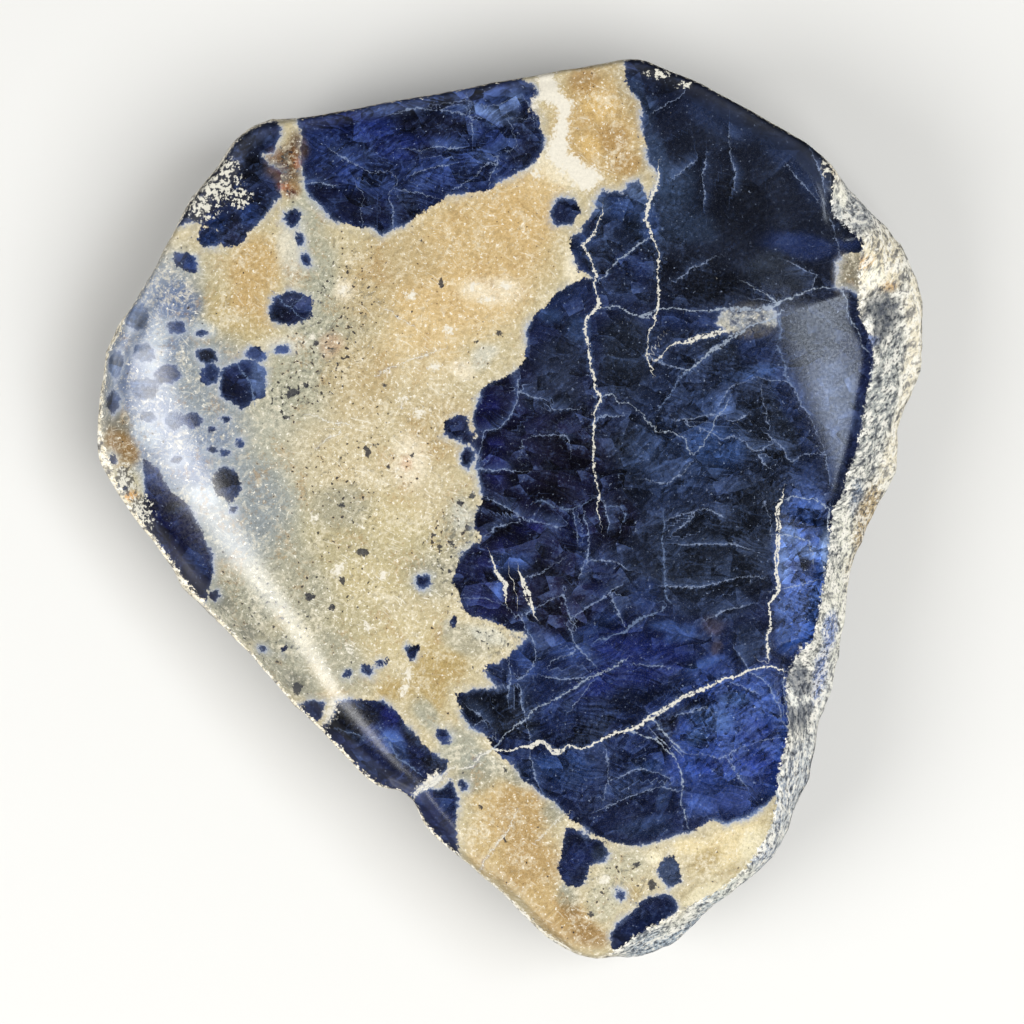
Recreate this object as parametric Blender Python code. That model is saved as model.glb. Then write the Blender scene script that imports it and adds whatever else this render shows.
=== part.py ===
"""Rough sodalite: a hand-sized freeform slab of stone, ground and polished on top, broken round its rim and underneath.

The stone is one solid. Its outlines are drawn in millimetres on a layout sheet that lies over the polished face:
x runs right and y runs down from the sheet's upper left corner. Heights are millimetres above the surface that the
stone rests on. The scene is in metres, with the middle of the resting face's box at the origin and +Y up the sheet.
"""

import math

import bpy
import numpy as np

MM = 0.001
THICKNESS = 18.0
SHEET_MIDDLE = (51.05, 50.85)
HEART = (51.0, 49.0)  # every outline is seen whole from this point of the sheet

# The girdle lies below the face and is drawn as it looks from an eye above the face, a little smaller than it is.
EYE = (51.2, 51.2)
EYE_HEIGHT = 350.0

GRID = 40  # cells across the face
RIM_ROWS = 3  # rows of faces from the face's edge out to the girdle
WALL_ROWS = 5  # rows of faces from the girdle down to the underside

# Outline of the stone at its widest, clockwise from the upper left corner: x, y and height.
GIRDLE = [
    (23.5, 14.0, 15.0),
    (25.0, 12.8, 15.3),
    (27.0, 12.1, 15.5),
    (30.1, 11.8, 15.6),
    (61.8, 5.9, 15.5),
    (63.9, 5.9, 15.0),
    (66.0, 6.8, 14.6),
    (70.0, 8.3, 14.5),
    (76.1, 11.8, 14.5),
    (80.0, 14.0, 14.0),
    (82.3, 15.5, 13.0),
    (84.3, 17.8, 12.0),
    (88.9, 23.2, 10.0),
    (90.4, 25.5, 9.2),
    (91.7, 28.0, 8.6),
    (92.4, 30.6, 8.2),
    (92.3, 32.4, 8.0),
    (91.2, 38.0, 8.0),
    (88.2, 48.7, 8.0),
    (86.9, 52.5, 8.0),
    (85.3, 57.0, 8.0),
    (84.9, 61.8, 8.2),
    (83.1, 68.4, 8.2),
    (81.1, 75.8, 8.0),
    (78.8, 83.2, 8.0),
    (77.7, 85.8, 8.0),
    (75.7, 87.6, 8.2),
    (69.6, 92.2, 9.0),
    (66.5, 94.2, 9.6),
    (63.9, 95.2, 10.4),
    (61.4, 95.6, 11.6),
    (59.3, 95.7, 13.0),
    (56.8, 95.0, 14.4),
    (54.2, 93.2, 15.0),
    (49.1, 88.3, 15.2),
    (45.8, 85.7, 15.2),
    (43.8, 83.9, 15.0),
    (42.2, 82.1, 14.8),
    (41.3, 80.0, 14.6),
    (40.0, 79.0, 14.4),
    (38.2, 78.8, 14.4),
    (36.1, 77.2, 14.2),
    (28.4, 69.3, 13.4),
    (20.8, 61.0, 12.2),
    (13.1, 51.7, 11.6),
    (11.0, 48.4, 11.4),
    (10.0, 46.1, 11.4),
    (9.7, 43.4, 11.5),
    (9.9, 40.1, 11.6),
    (10.8, 35.2, 11.8),
    (11.8, 32.6, 12.0),
    (13.1, 30.9, 12.2),
    (16.2, 25.7, 12.8),
    (19.2, 20.1, 13.6),
    (22.1, 16.3, 14.6),
]

# Edge of the worked face, in the same order: x and y. Outside it the rim is rough.
FACE_EDGE = [
    (24.3, 14.4),
    (26.2, 13.2),
    (30.3, 12.5),
    (61.8, 6.7),
    (63.8, 6.8),
    (70.0, 9.3),
    (76.0, 12.6),
    (80.0, 14.8),
    (82.5, 17.6),
    (83.2, 19.6),
    (83.2, 21.6),
    (85.0, 22.9),
    (86.6, 24.4),
    (86.0, 26.0),
    (86.1, 31.5),
    (87.3, 33.8),
    (87.6, 36.0),
    (86.8, 39.8),
    (85.8, 45.0),
    (84.7, 47.6),
    (84.4, 49.4),
    (83.2, 51.0),
    (83.0, 55.0),
    (82.1, 60.7),
    (81.4, 63.8),
    (79.4, 66.0),
    (78.6, 67.6),
    (78.6, 69.8),
    (78.9, 73.0),
    (77.9, 77.0),
    (77.6, 81.6),
    (76.6, 84.2),
    (75.0, 86.3),
    (72.0, 88.8),
    (66.4, 92.2),
    (62.4, 94.0),
    (59.4, 94.8),
    (57.2, 94.0),
    (54.6, 92.2),
    (49.6, 87.4),
    (46.2, 84.9),
    (43.2, 81.7),
    (41.6, 79.2),
    (38.6, 77.8),
    (36.6, 76.4),
    (29.0, 68.6),
    (21.5, 60.3),
    (13.9, 51.2),
    (11.8, 47.8),
    (10.6, 43.3),
    (10.8, 40.2),
    (11.7, 35.5),
    (13.8, 31.4),
    (17.0, 26.3),
    (20.0, 20.8),
    (22.9, 17.0),
]

# Each bevel starts at a ridge, drawn clockwise. A ridge point holds x, y, the slope past it and how wide it is rounded.
LONG_BEVEL = [
    (48.8, 87.0, 0.05, 0.45),
    (45.6, 83.2, 0.70, 0.45),
    (42.8, 80.1, 0.84, 0.45),
    (38.7, 75.5, 0.84, 0.5),
    (33.6, 69.6, 0.84, 0.8),
    (29.7, 63.4, 0.84, 1.1),
    (24.4, 56.3, 0.84, 1.5),
    (20.6, 50.6, 0.84, 1.9),
    (17.3, 45.3, 0.84, 2.4),
    (15.0, 39.5, 0.80, 2.6),
    (14.4, 35.0, 0.70, 2.6),
    (15.4, 30.0, 0.55, 2.2),
    (17.6, 25.5, 0.35, 1.6),
    (20.5, 20.0, 0.05, 1.2),
]
WINDOW_FACET = [
    (75.2, 27.5, 0.00, 0.4),
    (76.8, 32.0, 0.16, 0.3),
    (80.4, 40.6, 0.18, 0.25),
    (83.0, 46.4, 0.18, 0.25),
    (84.0, 51.0, 0.00, 0.4),
]
CRYSTAL_STEP = [
    (79.4, 49.0, 0.00, 0.2),
    (77.9, 51.0, 0.16, 0.15),
    (77.6, 59.0, 0.20, 0.15),
    (76.6, 65.0, 0.16, 0.2),
    (78.2, 67.0, 0.00, 0.3),
]
LOWER_SHOULDER = [
    (79.2, 69.0, 0.00, 1.0),
    (77.8, 75.0, 0.18, 1.0),
    (74.5, 80.0, 0.32, 1.2),
    (68.5, 85.5, 0.34, 1.2),
    (62.5, 91.0, 0.22, 1.0),
    (59.5, 93.6, 0.00, 0.8),
]
BEVELS = [LONG_BEVEL, WINDOW_FACET, CRYSTAL_STEP, LOWER_SHOULDER]

EDGE_ROLL = 0.55  # how far the face rolls down at its edge
EDGE_ROLL_WIDTH = 0.9
FOOT_INSET = 5.0  # how far the underside's edge lies inside the girdle
FOOT_HEIGHT = 3.4
FOOT_SAG = 0.9  # how far the underside would bulge below the resting plane, which grinds it flat
CHIPS = 34
CHIP_BITE = (0.5, 1.9)
LUMP = 0.45  # height of the broken surface's lumps
LUMP_SIZE = 7.0
SCAR = 1.5  # depth of the hollow scars between the broken surface's ridges
SCAR_SIZE = 9.5
ROUGH_RIM_WIDTH = 4.0  # a rim this wide is fully rough, and a narrower one is worn smoother


def cell_value(cell, seed):
    """A random value from -1 to 1 that belongs to each (n, 3) cell of a lattice."""
    i, j, k = cell.T
    mixed = (i * 73856093) ^ (j * 19349663) ^ (k * 83492791) ^ (seed * 2654435761)
    mixed = (mixed ^ (mixed >> 13)) * 1274126177 & 0x7FFFFFFF
    return ((mixed ^ (mixed >> 16)) & 0xFFFF) / 32767.5 - 1


def lattice_noise(points, seed):
    """Smooth noise from about -1 to 1 at (n, 3) points: random values on a unit lattice, blended by smooth steps."""
    cell = np.floor(points).astype(np.int64)
    part = points - cell
    blend = part * part * (3 - 2 * part)
    total = np.zeros(len(points))
    for corner in np.ndindex(2, 2, 2):
        total += cell_value(cell + corner, seed) * np.prod(np.where(corner, blend, 1 - blend), axis=1)
    return total


def scars(points, size, seed):
    """Hollows with ridges between them: the squared distance to the nearest of points strewn one to a lattice cell."""
    cell = np.floor(points / size).astype(np.int64)
    best = np.full(len(points), np.inf)
    for corner in np.ndindex(3, 3, 3):
        near = cell + corner - (1, 1, 1)
        strewn = near + 0.5 + 0.45 * np.column_stack([cell_value(near, seed + k) for k in range(3)])
        best = np.minimum(best, ((points / size - strewn) ** 2).sum(axis=1))
    return best


def rock_noise(points, size, octaves, seed):
    """Sum of octaves of lattice noise: each octave has half the size and half the height of the one before."""
    total = np.zeros(len(points))
    for octave in range(octaves):
        total += lattice_noise(points * (2**octave / size), seed + octave) / 2**octave
    return total


def closed_loop(points, columns):
    """The outline's radius, and its height if it has one, about the heart at evenly spaced angles, corners eased.

    The straight sides are filled in with close points, whose angles and radii are then read at the even angles."""
    corners = np.array(points)
    fill = np.linspace(0, 1, 40, endpoint=False)[None, :, None]
    following = np.roll(corners, -1, axis=0)
    filled = (corners[:, None] + (following - corners)[:, None] * fill).reshape(
        -1, corners.shape[1]
    )
    side = filled[:, :2] - HEART
    angle = np.arctan2(side[:, 1], side[:, 0]) % (2 * math.pi)
    order = np.argsort(angle)
    even = np.arange(columns) * (2 * math.pi / columns)
    carried = [np.hypot(*side.T), *filled.T[2:]]
    read = [np.interp(even, angle[order], v[order], period=2 * math.pi) for v in carried]
    return [0.25 * np.roll(v, 1) + 0.5 * v + 0.25 * np.roll(v, -1) for v in read]


def nearest_on_line(xy, line):
    """Distance from (n, 2) points to an open clockwise line, positive outside it, and the values that the line carries."""
    line = np.array(line)
    best = np.full(len(xy), np.inf)
    signed = np.zeros(len(xy))
    carried = np.zeros((len(xy), line.shape[1] - 2))
    for start, end in zip(line[:-1], line[1:]):
        along = end[:2] - start[:2]
        offset = xy - start[:2]
        share = np.clip(offset @ along / (along @ along), 0, 1)
        gap = offset - share[:, None] * along
        distance = np.hypot(*gap.T)
        nearer = distance < best
        side = np.sign(along[1] * offset[:, 0] - along[0] * offset[:, 1])
        best = np.where(nearer, distance, best)
        signed = np.where(nearer, distance * side, signed)
        values = start[2:] + share[:, None] * (end[2:] - start[2:])
        carried[nearer] = values[nearer]
    return signed, carried


def face_height(xy, edge_distance):
    """Height of the worked face at sheet points: the thickness, less what each bevel and the rolled edge take away.

    A bevel's depth is slope * width * log(1 + e ** (distance / width)), a straight slope with a rounded ridge."""
    height = np.full(len(xy), THICKNESS)
    for ridge in BEVELS:
        outside, carried = nearest_on_line(xy, ridge)
        slope, width = carried.T
        height -= slope * width * np.logaddexp(0, outside / width)
    height -= EDGE_ROLL * np.exp(-((edge_distance / EDGE_ROLL_WIDTH) ** 2))
    return height


def square_to_rings(cells):
    """For a grid of cells + 1 points a side: each point's ring, from 0 in the middle to 1 at the edge, and its angle.

    Rings are squares on the grid. A point's angle follows its way round its own ring evenly."""
    side = np.linspace(-1, 1, cells + 1)
    u, v = np.meshgrid(side, side)
    ring = np.maximum(abs(u), abs(v))
    safe = np.where(ring == 0, 1, ring)
    across = np.where(
        u == ring,
        v / safe,
        np.where(v == ring, 2 - u / safe, np.where(u == -ring, 4 - v / safe, 6 + u / safe)),
    )
    return ring, across * (math.pi / 4)


def at_angle(loop, angle):
    """A loop's values, held at evenly spaced angles, read at any angles."""
    even = np.arange(len(loop)) * (2 * math.pi / len(loop))
    return np.interp(angle, even, loop, period=2 * math.pi)


def polar(radius, angle):
    """Sheet points at these radii and angles about the heart."""
    return np.stack([HEART[0] + radius * np.cos(angle), HEART[1] + radius * np.sin(angle)], axis=-1)


def grid_faces(index):
    """Quads of a grid of point numbers."""
    return np.stack([index[:-1, :-1], index[:-1, 1:], index[1:, 1:], index[1:, :-1]], axis=-1).reshape(-1, 4)


def edge_of_grid(index):
    """The point numbers round a grid's edge, in the order of their angles, from angle 0."""
    cells = len(index) - 1
    half = cells // 2
    ring = np.concatenate([index[:-1, -1], index[-1, :0:-1], index[:0:-1, 0], index[0, :-1]])
    return np.roll(ring, -half)


def knock_off_chips(points, movable):
    """Cuts flat chips from the lower wall and the underside: each plane moves what stands past it back onto it."""
    random = np.random.default_rng(11)
    middle = np.array([*SHEET_MIDDLE, THICKNESS / 2])
    for chip in range(CHIPS):
        turn = 2 * math.pi * (chip + random.uniform(0, 0.8)) / CHIPS * 2
        droop = math.radians(random.uniform(28, 48) if chip < CHIPS // 2 else random.uniform(55, 78))
        normal = np.array([math.cos(turn) * math.cos(droop), math.sin(turn) * math.cos(droop), -math.sin(droop)])
        reach = (points - middle) @ normal
        over = reach - (reach[movable].max() - random.uniform(*CHIP_BITE))
        points = points - np.where(movable & (over > 0), over, 0)[:, None] * normal
    return points


def stone_points():
    """Points and faces of the stone on the sheet, in millimetres: the face's grid, the rim, the wall and the underside."""
    columns = 4 * GRID
    angles = np.arange(columns) * (2 * math.pi / columns)
    (edge,) = closed_loop(FACE_EDGE, columns)
    girdle, girdle_height = closed_loop(GIRDLE, columns)
    growth = 1 + (THICKNESS - girdle_height) / EYE_HEIGHT
    girdle_xy = EYE + growth[:, None] * (polar(girdle, angles) - EYE)

    ring, angle = square_to_rings(GRID)
    face_xy = polar(ring * at_angle(edge, angle), angle).reshape(-1, 2)
    from_edge = ((1 - ring) * at_angle(edge, angle)).ravel()
    face = np.column_stack([face_xy, face_height(face_xy, from_edge)])
    index = np.arange(len(face)).reshape(GRID + 1, GRID + 1)
    rows = [edge_of_grid(index)]
    points = [face]
    faces = [grid_faces(index)]
    count = len(face)

    edge_points = face[rows[0]]
    wall = []
    for row in range(1, RIM_ROWS + 1):
        share = row / RIM_ROWS
        drop = share**1.35
        xy = edge_points[:, :2] + share * (girdle_xy - edge_points[:, :2])
        wall.append(np.column_stack([xy, edge_points[:, 2] + drop * (girdle_height - edge_points[:, 2])]))
    inward = polar(girdle, angles) - HEART
    inward /= np.hypot(*inward.T)[:, None]
    for row in range(1, WALL_ROWS + 1):
        turn = 0.5 * math.pi * row / WALL_ROWS
        xy = girdle_xy - inward * FOOT_INSET * (1 - math.cos(turn))
        wall.append(np.column_stack([xy, girdle_height + (FOOT_HEIGHT - girdle_height) * math.sin(turn)]))
    for row in wall:
        rows.append(count + np.arange(columns))
        points.append(row)
        count += columns
    for upper, lower in zip(rows[:-1], rows[1:]):
        faces.append(np.stack([upper, lower, np.roll(lower, -1), np.roll(upper, -1)], axis=-1))

    foot = wall[-1]
    inside = ring < 1
    radius = np.hypot(*(foot[:, :2] - HEART).T)
    foot_xy = polar(ring * at_angle(radius, angle), angle)[inside]
    bowl = ring[inside] ** 3
    under = np.column_stack([foot_xy, FOOT_HEIGHT * bowl - FOOT_SAG * (1 - bowl)])
    index = np.zeros((GRID + 1, GRID + 1), int)
    index[inside] = count + np.arange(len(under))
    border = edge_of_grid(np.arange((GRID + 1) ** 2).reshape(GRID + 1, GRID + 1))
    index.ravel()[border] = rows[-1]
    points.append(under)
    faces.append(grid_faces(index)[:, ::-1])
    return np.concatenate(points), np.concatenate(faces), len(face)


def broken_stone():
    """The stone with its rim, wall and underside broken, and its underside ground flat where it rests."""
    points, faces, worked = stone_points()
    columns = 4 * GRID
    below_rim = worked + columns * RIM_ROWS
    rim = points[worked:below_rim].reshape(RIM_ROWS, columns, 3)
    width = np.hypot(*(rim[-1] - rim[0])[:, :2].T) * RIM_ROWS / (RIM_ROWS - 1)
    worn = np.clip(width / ROUGH_RIM_WIDTH, 0.2, 1)
    rough = np.ones(len(points))
    rough[:worked] = 0
    rough[worked:below_rim] = (np.linspace(0.6, 1, RIM_ROWS)[:, None] * worn).ravel()
    points = knock_off_chips(points, np.arange(len(points)) >= below_rim)
    lumps = LUMP * rock_noise(points, LUMP_SIZE, 3, 5) + SCAR * (scars(points, SCAR_SIZE, 3) - 0.3)
    away = points - (*SHEET_MIDDLE, THICKNESS / 2)
    away[:, 2] *= 3
    away /= np.linalg.norm(away, axis=1)[:, None]
    points = points + (rough * lumps)[:, None] * away
    points[:, 2] = np.maximum(points[:, 2], 0)
    return points, faces


def stone_material():
    """Deep blue polished stone."""
    material = bpy.data.materials.new("sodalite")
    material.use_nodes = True
    shader = material.node_tree.nodes["Principled BSDF"]
    shader.inputs["Base Color"].default_value = (0.035, 0.055, 0.16, 1)
    shader.inputs["Roughness"].default_value = 0.3
    shader.inputs["Metallic"].default_value = 0.0
    return material


def main():
    for old in list(bpy.data.objects):
        bpy.data.objects.remove(old)
    points, faces = broken_stone()
    placed = (points - (*SHEET_MIDDLE, 0)) * (MM, -MM, MM)
    mesh = bpy.data.meshes.new("sodalite")
    mesh.from_pydata(placed.tolist(), [], faces[:, ::-1].tolist())
    mesh.materials.append(stone_material())
    mesh.shade_smooth()
    mesh.set_sharp_from_angle(angle=math.radians(30))
    stone = bpy.data.objects.new("sodalite", mesh)
    bpy.context.scene.collection.objects.link(stone)


main()
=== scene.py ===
# %% [markdown]
# A freeform slab of sodalite: a deep blue stone with cream rock grown through it, cut by hair-thin white
# veins. A maker ground and polished one face, put a long bevel along its left side and left the rest as
# it broke. This lesson builds the whole stone as one mesh whose shape and pattern are worked out with
# numpy, then gives it a material that draws its grain, fibres and haze.

# %% Load the frame
import math

import bpy
import numpy as np
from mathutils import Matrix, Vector


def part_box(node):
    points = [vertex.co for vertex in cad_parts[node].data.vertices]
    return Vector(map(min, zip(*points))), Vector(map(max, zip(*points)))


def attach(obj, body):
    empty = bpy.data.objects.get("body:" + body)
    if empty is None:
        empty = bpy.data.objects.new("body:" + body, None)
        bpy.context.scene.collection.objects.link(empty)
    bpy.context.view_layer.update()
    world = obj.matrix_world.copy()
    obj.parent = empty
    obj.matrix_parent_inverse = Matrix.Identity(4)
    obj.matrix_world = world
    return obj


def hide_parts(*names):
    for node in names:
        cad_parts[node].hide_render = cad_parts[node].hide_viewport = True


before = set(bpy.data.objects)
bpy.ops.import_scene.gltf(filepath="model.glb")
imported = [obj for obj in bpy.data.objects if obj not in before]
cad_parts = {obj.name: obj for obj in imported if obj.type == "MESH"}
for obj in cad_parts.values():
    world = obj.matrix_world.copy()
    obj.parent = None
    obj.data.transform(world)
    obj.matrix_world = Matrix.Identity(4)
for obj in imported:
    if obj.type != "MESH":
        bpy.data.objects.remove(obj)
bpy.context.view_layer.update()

MM = 0.001
low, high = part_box("sodalite")
THICKNESS = (high[2] - low[2]) / MM
print("the stone measures", [round((b - a) / MM, 1) for a, b in zip(low, high)], "mm")

# %% [markdown]
# Every outline below is drawn on a layout sheet that lies over the polished face: millimetres, x to the
# right and y down from the sheet's upper left corner. One could model the outline with a curve object
# instead, but a plain list of points can be read by the mesh, the pattern and the bevels alike. What lies
# below the face is drawn as it looks from an eye above the sheet, so it appears a little smaller than it
# is.

# %% The layout sheet
SHEET_MIDDLE = (51.05, 50.85)
HEART = (51.0, 49.0)
EYE = (51.2, 51.2)
EYE_HEIGHT = 350.0

GIRDLE = [
    (23.5, 14, 15), (25, 12.8, 15.3), (27, 12.1, 15.5), (30.1, 11.8, 15.6), (61.8, 5.9, 15.5),
    (63.9, 5.9, 15), (66, 6.8, 14.6), (70, 8.3, 14.5), (76.1, 11.8, 14.5), (80, 14, 14),
    (82.3, 15.5, 13), (84.3, 17.8, 12), (88.9, 23.2, 10), (90.4, 25.5, 9.2), (91.7, 28, 8.6),
    (92.4, 30.6, 8.2), (92.3, 32.4, 8), (91.2, 38, 8), (88.2, 48.7, 8), (86.9, 52.5, 8), (85.3, 57, 8),
    (84.9, 61.8, 8.2), (83.1, 68.4, 8.2), (81.1, 75.8, 8), (78.8, 83.2, 8), (77.7, 85.8, 8),
    (75.7, 87.6, 8.2), (69.6, 92.2, 9), (66.5, 94.2, 9.6), (63.9, 95.2, 10.4), (61.4, 95.6, 11.6),
    (59.3, 95.7, 13), (56.8, 95, 14.4), (54.2, 93.2, 15), (49.1, 88.3, 15.2), (45.8, 85.7, 15.2),
    (43.8, 83.9, 15), (42.2, 82.1, 14.8), (41.3, 80, 14.6), (40, 79, 14.4), (38.2, 78.8, 14.4),
    (36.1, 77.2, 14.2), (28.4, 69.3, 13.4), (20.8, 61, 12.2), (13.1, 51.7, 11.6), (11, 48.4, 11.4),
    (10, 46.1, 11.4), (9.7, 43.4, 11.5), (9.9, 40.1, 11.6), (10.8, 35.2, 11.8), (11.8, 32.6, 12),
    (13.1, 30.9, 12.2), (16.2, 25.7, 12.8), (19.2, 20.1, 13.6), (22.1, 16.3, 14.6),
]
FACE_EDGE = [
    (24.3, 14.4), (26.2, 13.2), (30.3, 12.5), (61.8, 6.7), (63.8, 6.8), (70, 9.3), (76, 12.6),
    (80, 14.8), (82.5, 17.6), (83.2, 19.6), (83.2, 21.6), (85, 22.9), (86.6, 24.4), (86, 26),
    (86.1, 31.5), (87.3, 33.8), (87.6, 36), (86.8, 39.8), (85.8, 45), (84.7, 47.6), (84.4, 49.4),
    (83.2, 51), (83, 55), (82.1, 60.7), (81.4, 63.8), (79.4, 66), (78.6, 67.6), (78.6, 69.8),
    (78.9, 73), (77.9, 77), (77.6, 81.6), (76.6, 84.2), (75, 86.3), (72, 88.8), (66.4, 92.2),
    (62.4, 94), (59.4, 94.8), (57.2, 94), (54.6, 92.2), (49.6, 87.4), (46.2, 84.9), (43.2, 81.7),
    (41.6, 79.2), (38.6, 77.8), (36.6, 76.4), (29, 68.6), (21.5, 60.3), (13.9, 51.2), (11.8, 47.8),
    (10.6, 43.3), (10.8, 40.2), (11.7, 35.5), (13.8, 31.4), (17, 26.3), (20, 20.8), (22.9, 17),
]
print(len(GIRDLE), "points round the girdle,", len(FACE_EDGE), "round the polished face")

# %% [markdown]
# The face isn't one plane. A long bevel falls away along the left and lower left, a small window facet
# and a crystal step tilt down on the right, and the lower right shoulder is worn. Each starts at a ridge:
# a line of points that hold x, y, the slope past the ridge and how widely the ridge is rounded. A smooth
# log-and-exponential blend was chosen over a Bevel modifier because the ridge's width changes from 2.6 mm
# to almost nothing along its length.

# %% The ridges
LONG_BEVEL = [
    (48.8, 87, 0.05, 0.45), (45.6, 83.2, 0.7, 0.45), (42.8, 80.1, 0.84, 0.45), (38.7, 75.5, 0.84, 0.5),
    (33.6, 69.6, 0.84, 0.8), (29.7, 63.4, 0.84, 1.1), (24.4, 56.3, 0.84, 1.5), (20.6, 50.6, 0.84, 1.9),
    (17.3, 45.3, 0.84, 2.4), (15, 39.5, 0.8, 2.6), (14.4, 35, 0.7, 2.6), (15.4, 30, 0.55, 2.2),
    (17.6, 25.5, 0.35, 1.6), (20.5, 20, 0.05, 1.2),
]
WINDOW_FACET = [
    (75.2, 27.5, 0, 0.8), (76.8, 32, 0.18, 0.9), (80.4, 40.6, 0.21, 0.8), (83, 46.4, 0.21, 0.6),
    (84, 51, 0, 0.4),
]
CRYSTAL_STEP = [
    (79.4, 49, 0, 0.2), (77.9, 51, 0.16, 0.15), (77.6, 59, 0.2, 0.15), (76.6, 65, 0.16, 0.2),
    (78.2, 67, 0, 0.3),
]
LOWER_SHOULDER = [
    (79.2, 69, 0, 1), (77.8, 75, 0.18, 1), (74.5, 80, 0.32, 1.2), (68.5, 85.5, 0.34, 1.2),
    (62.5, 91, 0.22, 1), (59.5, 93.6, 0, 0.8),
]
BEVELS = [LONG_BEVEL, WINDOW_FACET, CRYSTAL_STEP, LOWER_SHOULDER]
EDGE_ROLL = 0.30
EDGE_ROLL_WIDTH = 0.7


def nearest_on_line(xy, line):
    """Distance from (n, 2) points to an open line, positive on its right as drawn, and what it carries.

    Each stretch's nearest point is start + share * along, with share held between 0 and 1."""
    line = np.array(line)
    best = np.full(len(xy), np.inf)
    signed = np.zeros(len(xy))
    carried = np.zeros((len(xy), line.shape[1] - 2))
    for start, end in zip(line[:-1], line[1:]):
        along = end[:2] - start[:2]
        offset = xy - start[:2]
        share = np.clip(offset @ along / (along @ along), 0, 1)
        distance = np.hypot(*(offset - share[:, None] * along).T)
        nearer = distance < best
        side = np.sign(along[1] * offset[:, 0] - along[0] * offset[:, 1])
        best = np.where(nearer, distance, best)
        signed = np.where(nearer, distance * side, signed)
        values = start[2:] + share[:, None] * (end[2:] - start[2:])
        carried[nearer] = values[nearer]
    return signed, carried


def face_height(xy, edge_distance):
    """Height of the worked face: the thickness, less what each bevel and the rolled edge take away.

    A bevel's depth is slope * width * log(1 + e ** (distance / width)): a straight slope with a rounded
    ridge."""
    height = np.full(len(xy), THICKNESS)
    for ridge in BEVELS:
        outside, carried = nearest_on_line(xy, ridge)
        slope, width = carried.T
        height -= slope * width * np.logaddexp(0, outside / width)
    return height - EDGE_ROLL * np.exp(-((edge_distance / EDGE_ROLL_WIDTH) ** 2))


print(len(BEVELS), "ridges, and a rolled edge that takes off", EDGE_ROLL, "mm")


# %% [markdown]
# Broken stone is lumpy and scarred. Both can be worked out at any point in space: lumps from random
# values on a lattice, blended smoothly and summed at ever smaller sizes, and scars from the squared
# distance to the nearest of strewn points, which gives hollows with ridges between them. A displacement
# modifier with a texture would do the same, but numpy lets the pattern below use the same noise.

# %% Lumps and scars
SCATTER = 0.45


def cell_value(cell, seed):
    """A random value from -1 to 1 that belongs to each (n, 3) cell of a lattice."""
    i, j, k = cell.T
    mixed = (i * 73856093) ^ (j * 19349663) ^ (k * 83492791) ^ (seed * 2654435761)
    mixed = (mixed ^ (mixed >> 13)) * 1274126177 & 0x7FFFFFFF
    return ((mixed ^ (mixed >> 16)) & 0xFFFF) / 32767.5 - 1


def lattice_noise(points, seed):
    """Smooth noise from about -1 to 1: random values on a unit lattice, blended by smooth steps."""
    cell = np.floor(points).astype(np.int64)
    part = points - cell
    blend = part * part * (3 - 2 * part)
    total = np.zeros(len(points))
    for corner in np.ndindex(2, 2, 2):
        total += cell_value(cell + corner, seed) * np.prod(np.where(corner, blend, 1 - blend), axis=1)
    return total


def rock_noise(points, size, octaves, seed):
    """Sum of octaves of lattice noise: each has half the size and half the height of the one before."""
    total = np.zeros(len(points))
    for octave in range(octaves):
        total += lattice_noise(points * (2**octave / size), seed + octave) / 2**octave
    return total


def nearest_strewn(points, size, seed):
    """Squared distance, in cells, to the nearest of points strewn one to a lattice cell.

    A point stands in the middle of its cell, moved by up to the scatter along each axis."""
    cell = np.floor(points / size).astype(np.int64)
    best = np.full(len(points), np.inf)
    for corner in np.ndindex(3, 3, 3):
        near = cell + corner - (1, 1, 1)
        strewn = near + 0.5 + SCATTER * np.column_stack([cell_value(near, seed + k) for k in range(3)])
        best = np.minimum(best, ((points / size - strewn) ** 2).sum(axis=1))
    return best


print("rock noise at three points:", rock_noise(np.eye(3) / 2, 1.0, 3, 5).round(2))


# %% [markdown]
# The mesh has three fields that meet edge to edge: a square grid wrapped over the face, so that its
# outermost square becomes the face's edge, rows that run down over the rough rim and the wall, and a
# coarser grid underneath. A grid wrapped this way has no pole in the middle, where a plain polar grid
# would pinch.

# %% The stone's surface
GRID = 224
RIM_ROWS = 14
WALL_ROWS = 16
COLUMNS = 4 * GRID
NARROW_RIM = 1.3
WIDE_RIM = 3.0
NARROW_RIM_FALL = 6.0
WIDE_RIM_FALL = 1.35
GENTLE_FALL = 1.4
SHEER_FALL = 2.4
FOOT_INSET = 5.0
FOOT_HEIGHT = 3.4
FOOT_SAG = 0.9
FILL = 40
EASED = 160


def soft_step(value, nothing, full):
    """0 at one value and 1 at the other, easing in and out: 3 t ** 2 - 2 t ** 3 of the clipped share t."""
    share = np.clip((value - nothing) / (full - nothing), 0, 1)
    return share * share * (3 - 2 * share)


def closed_loop(points, columns):
    """The outline's radius about the heart, and its height if it has one, at evenly spaced angles.

    Each side is filled with points, and the corners are eased by averaging neighbours."""
    corners = np.array(points)
    fill = np.linspace(0, 1, FILL, endpoint=False)[None, :, None]
    following = np.roll(corners, -1, axis=0)
    filled = (corners[:, None] + (following - corners)[:, None] * fill).reshape(-1, corners.shape[1])
    side = filled[:, :2] - HEART
    angle = np.arctan2(side[:, 1], side[:, 0]) % (2 * math.pi)
    order = np.argsort(angle)
    even = np.arange(columns) * (2 * math.pi / columns)
    carried = [np.hypot(*side.T), *filled.T[2:]]
    read = [np.interp(even, angle[order], v[order], period=2 * math.pi) for v in carried]
    for _ in range(columns // EASED):
        read = [0.25 * np.roll(v, 1) + 0.5 * v + 0.25 * np.roll(v, -1) for v in read]
    return read


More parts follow.
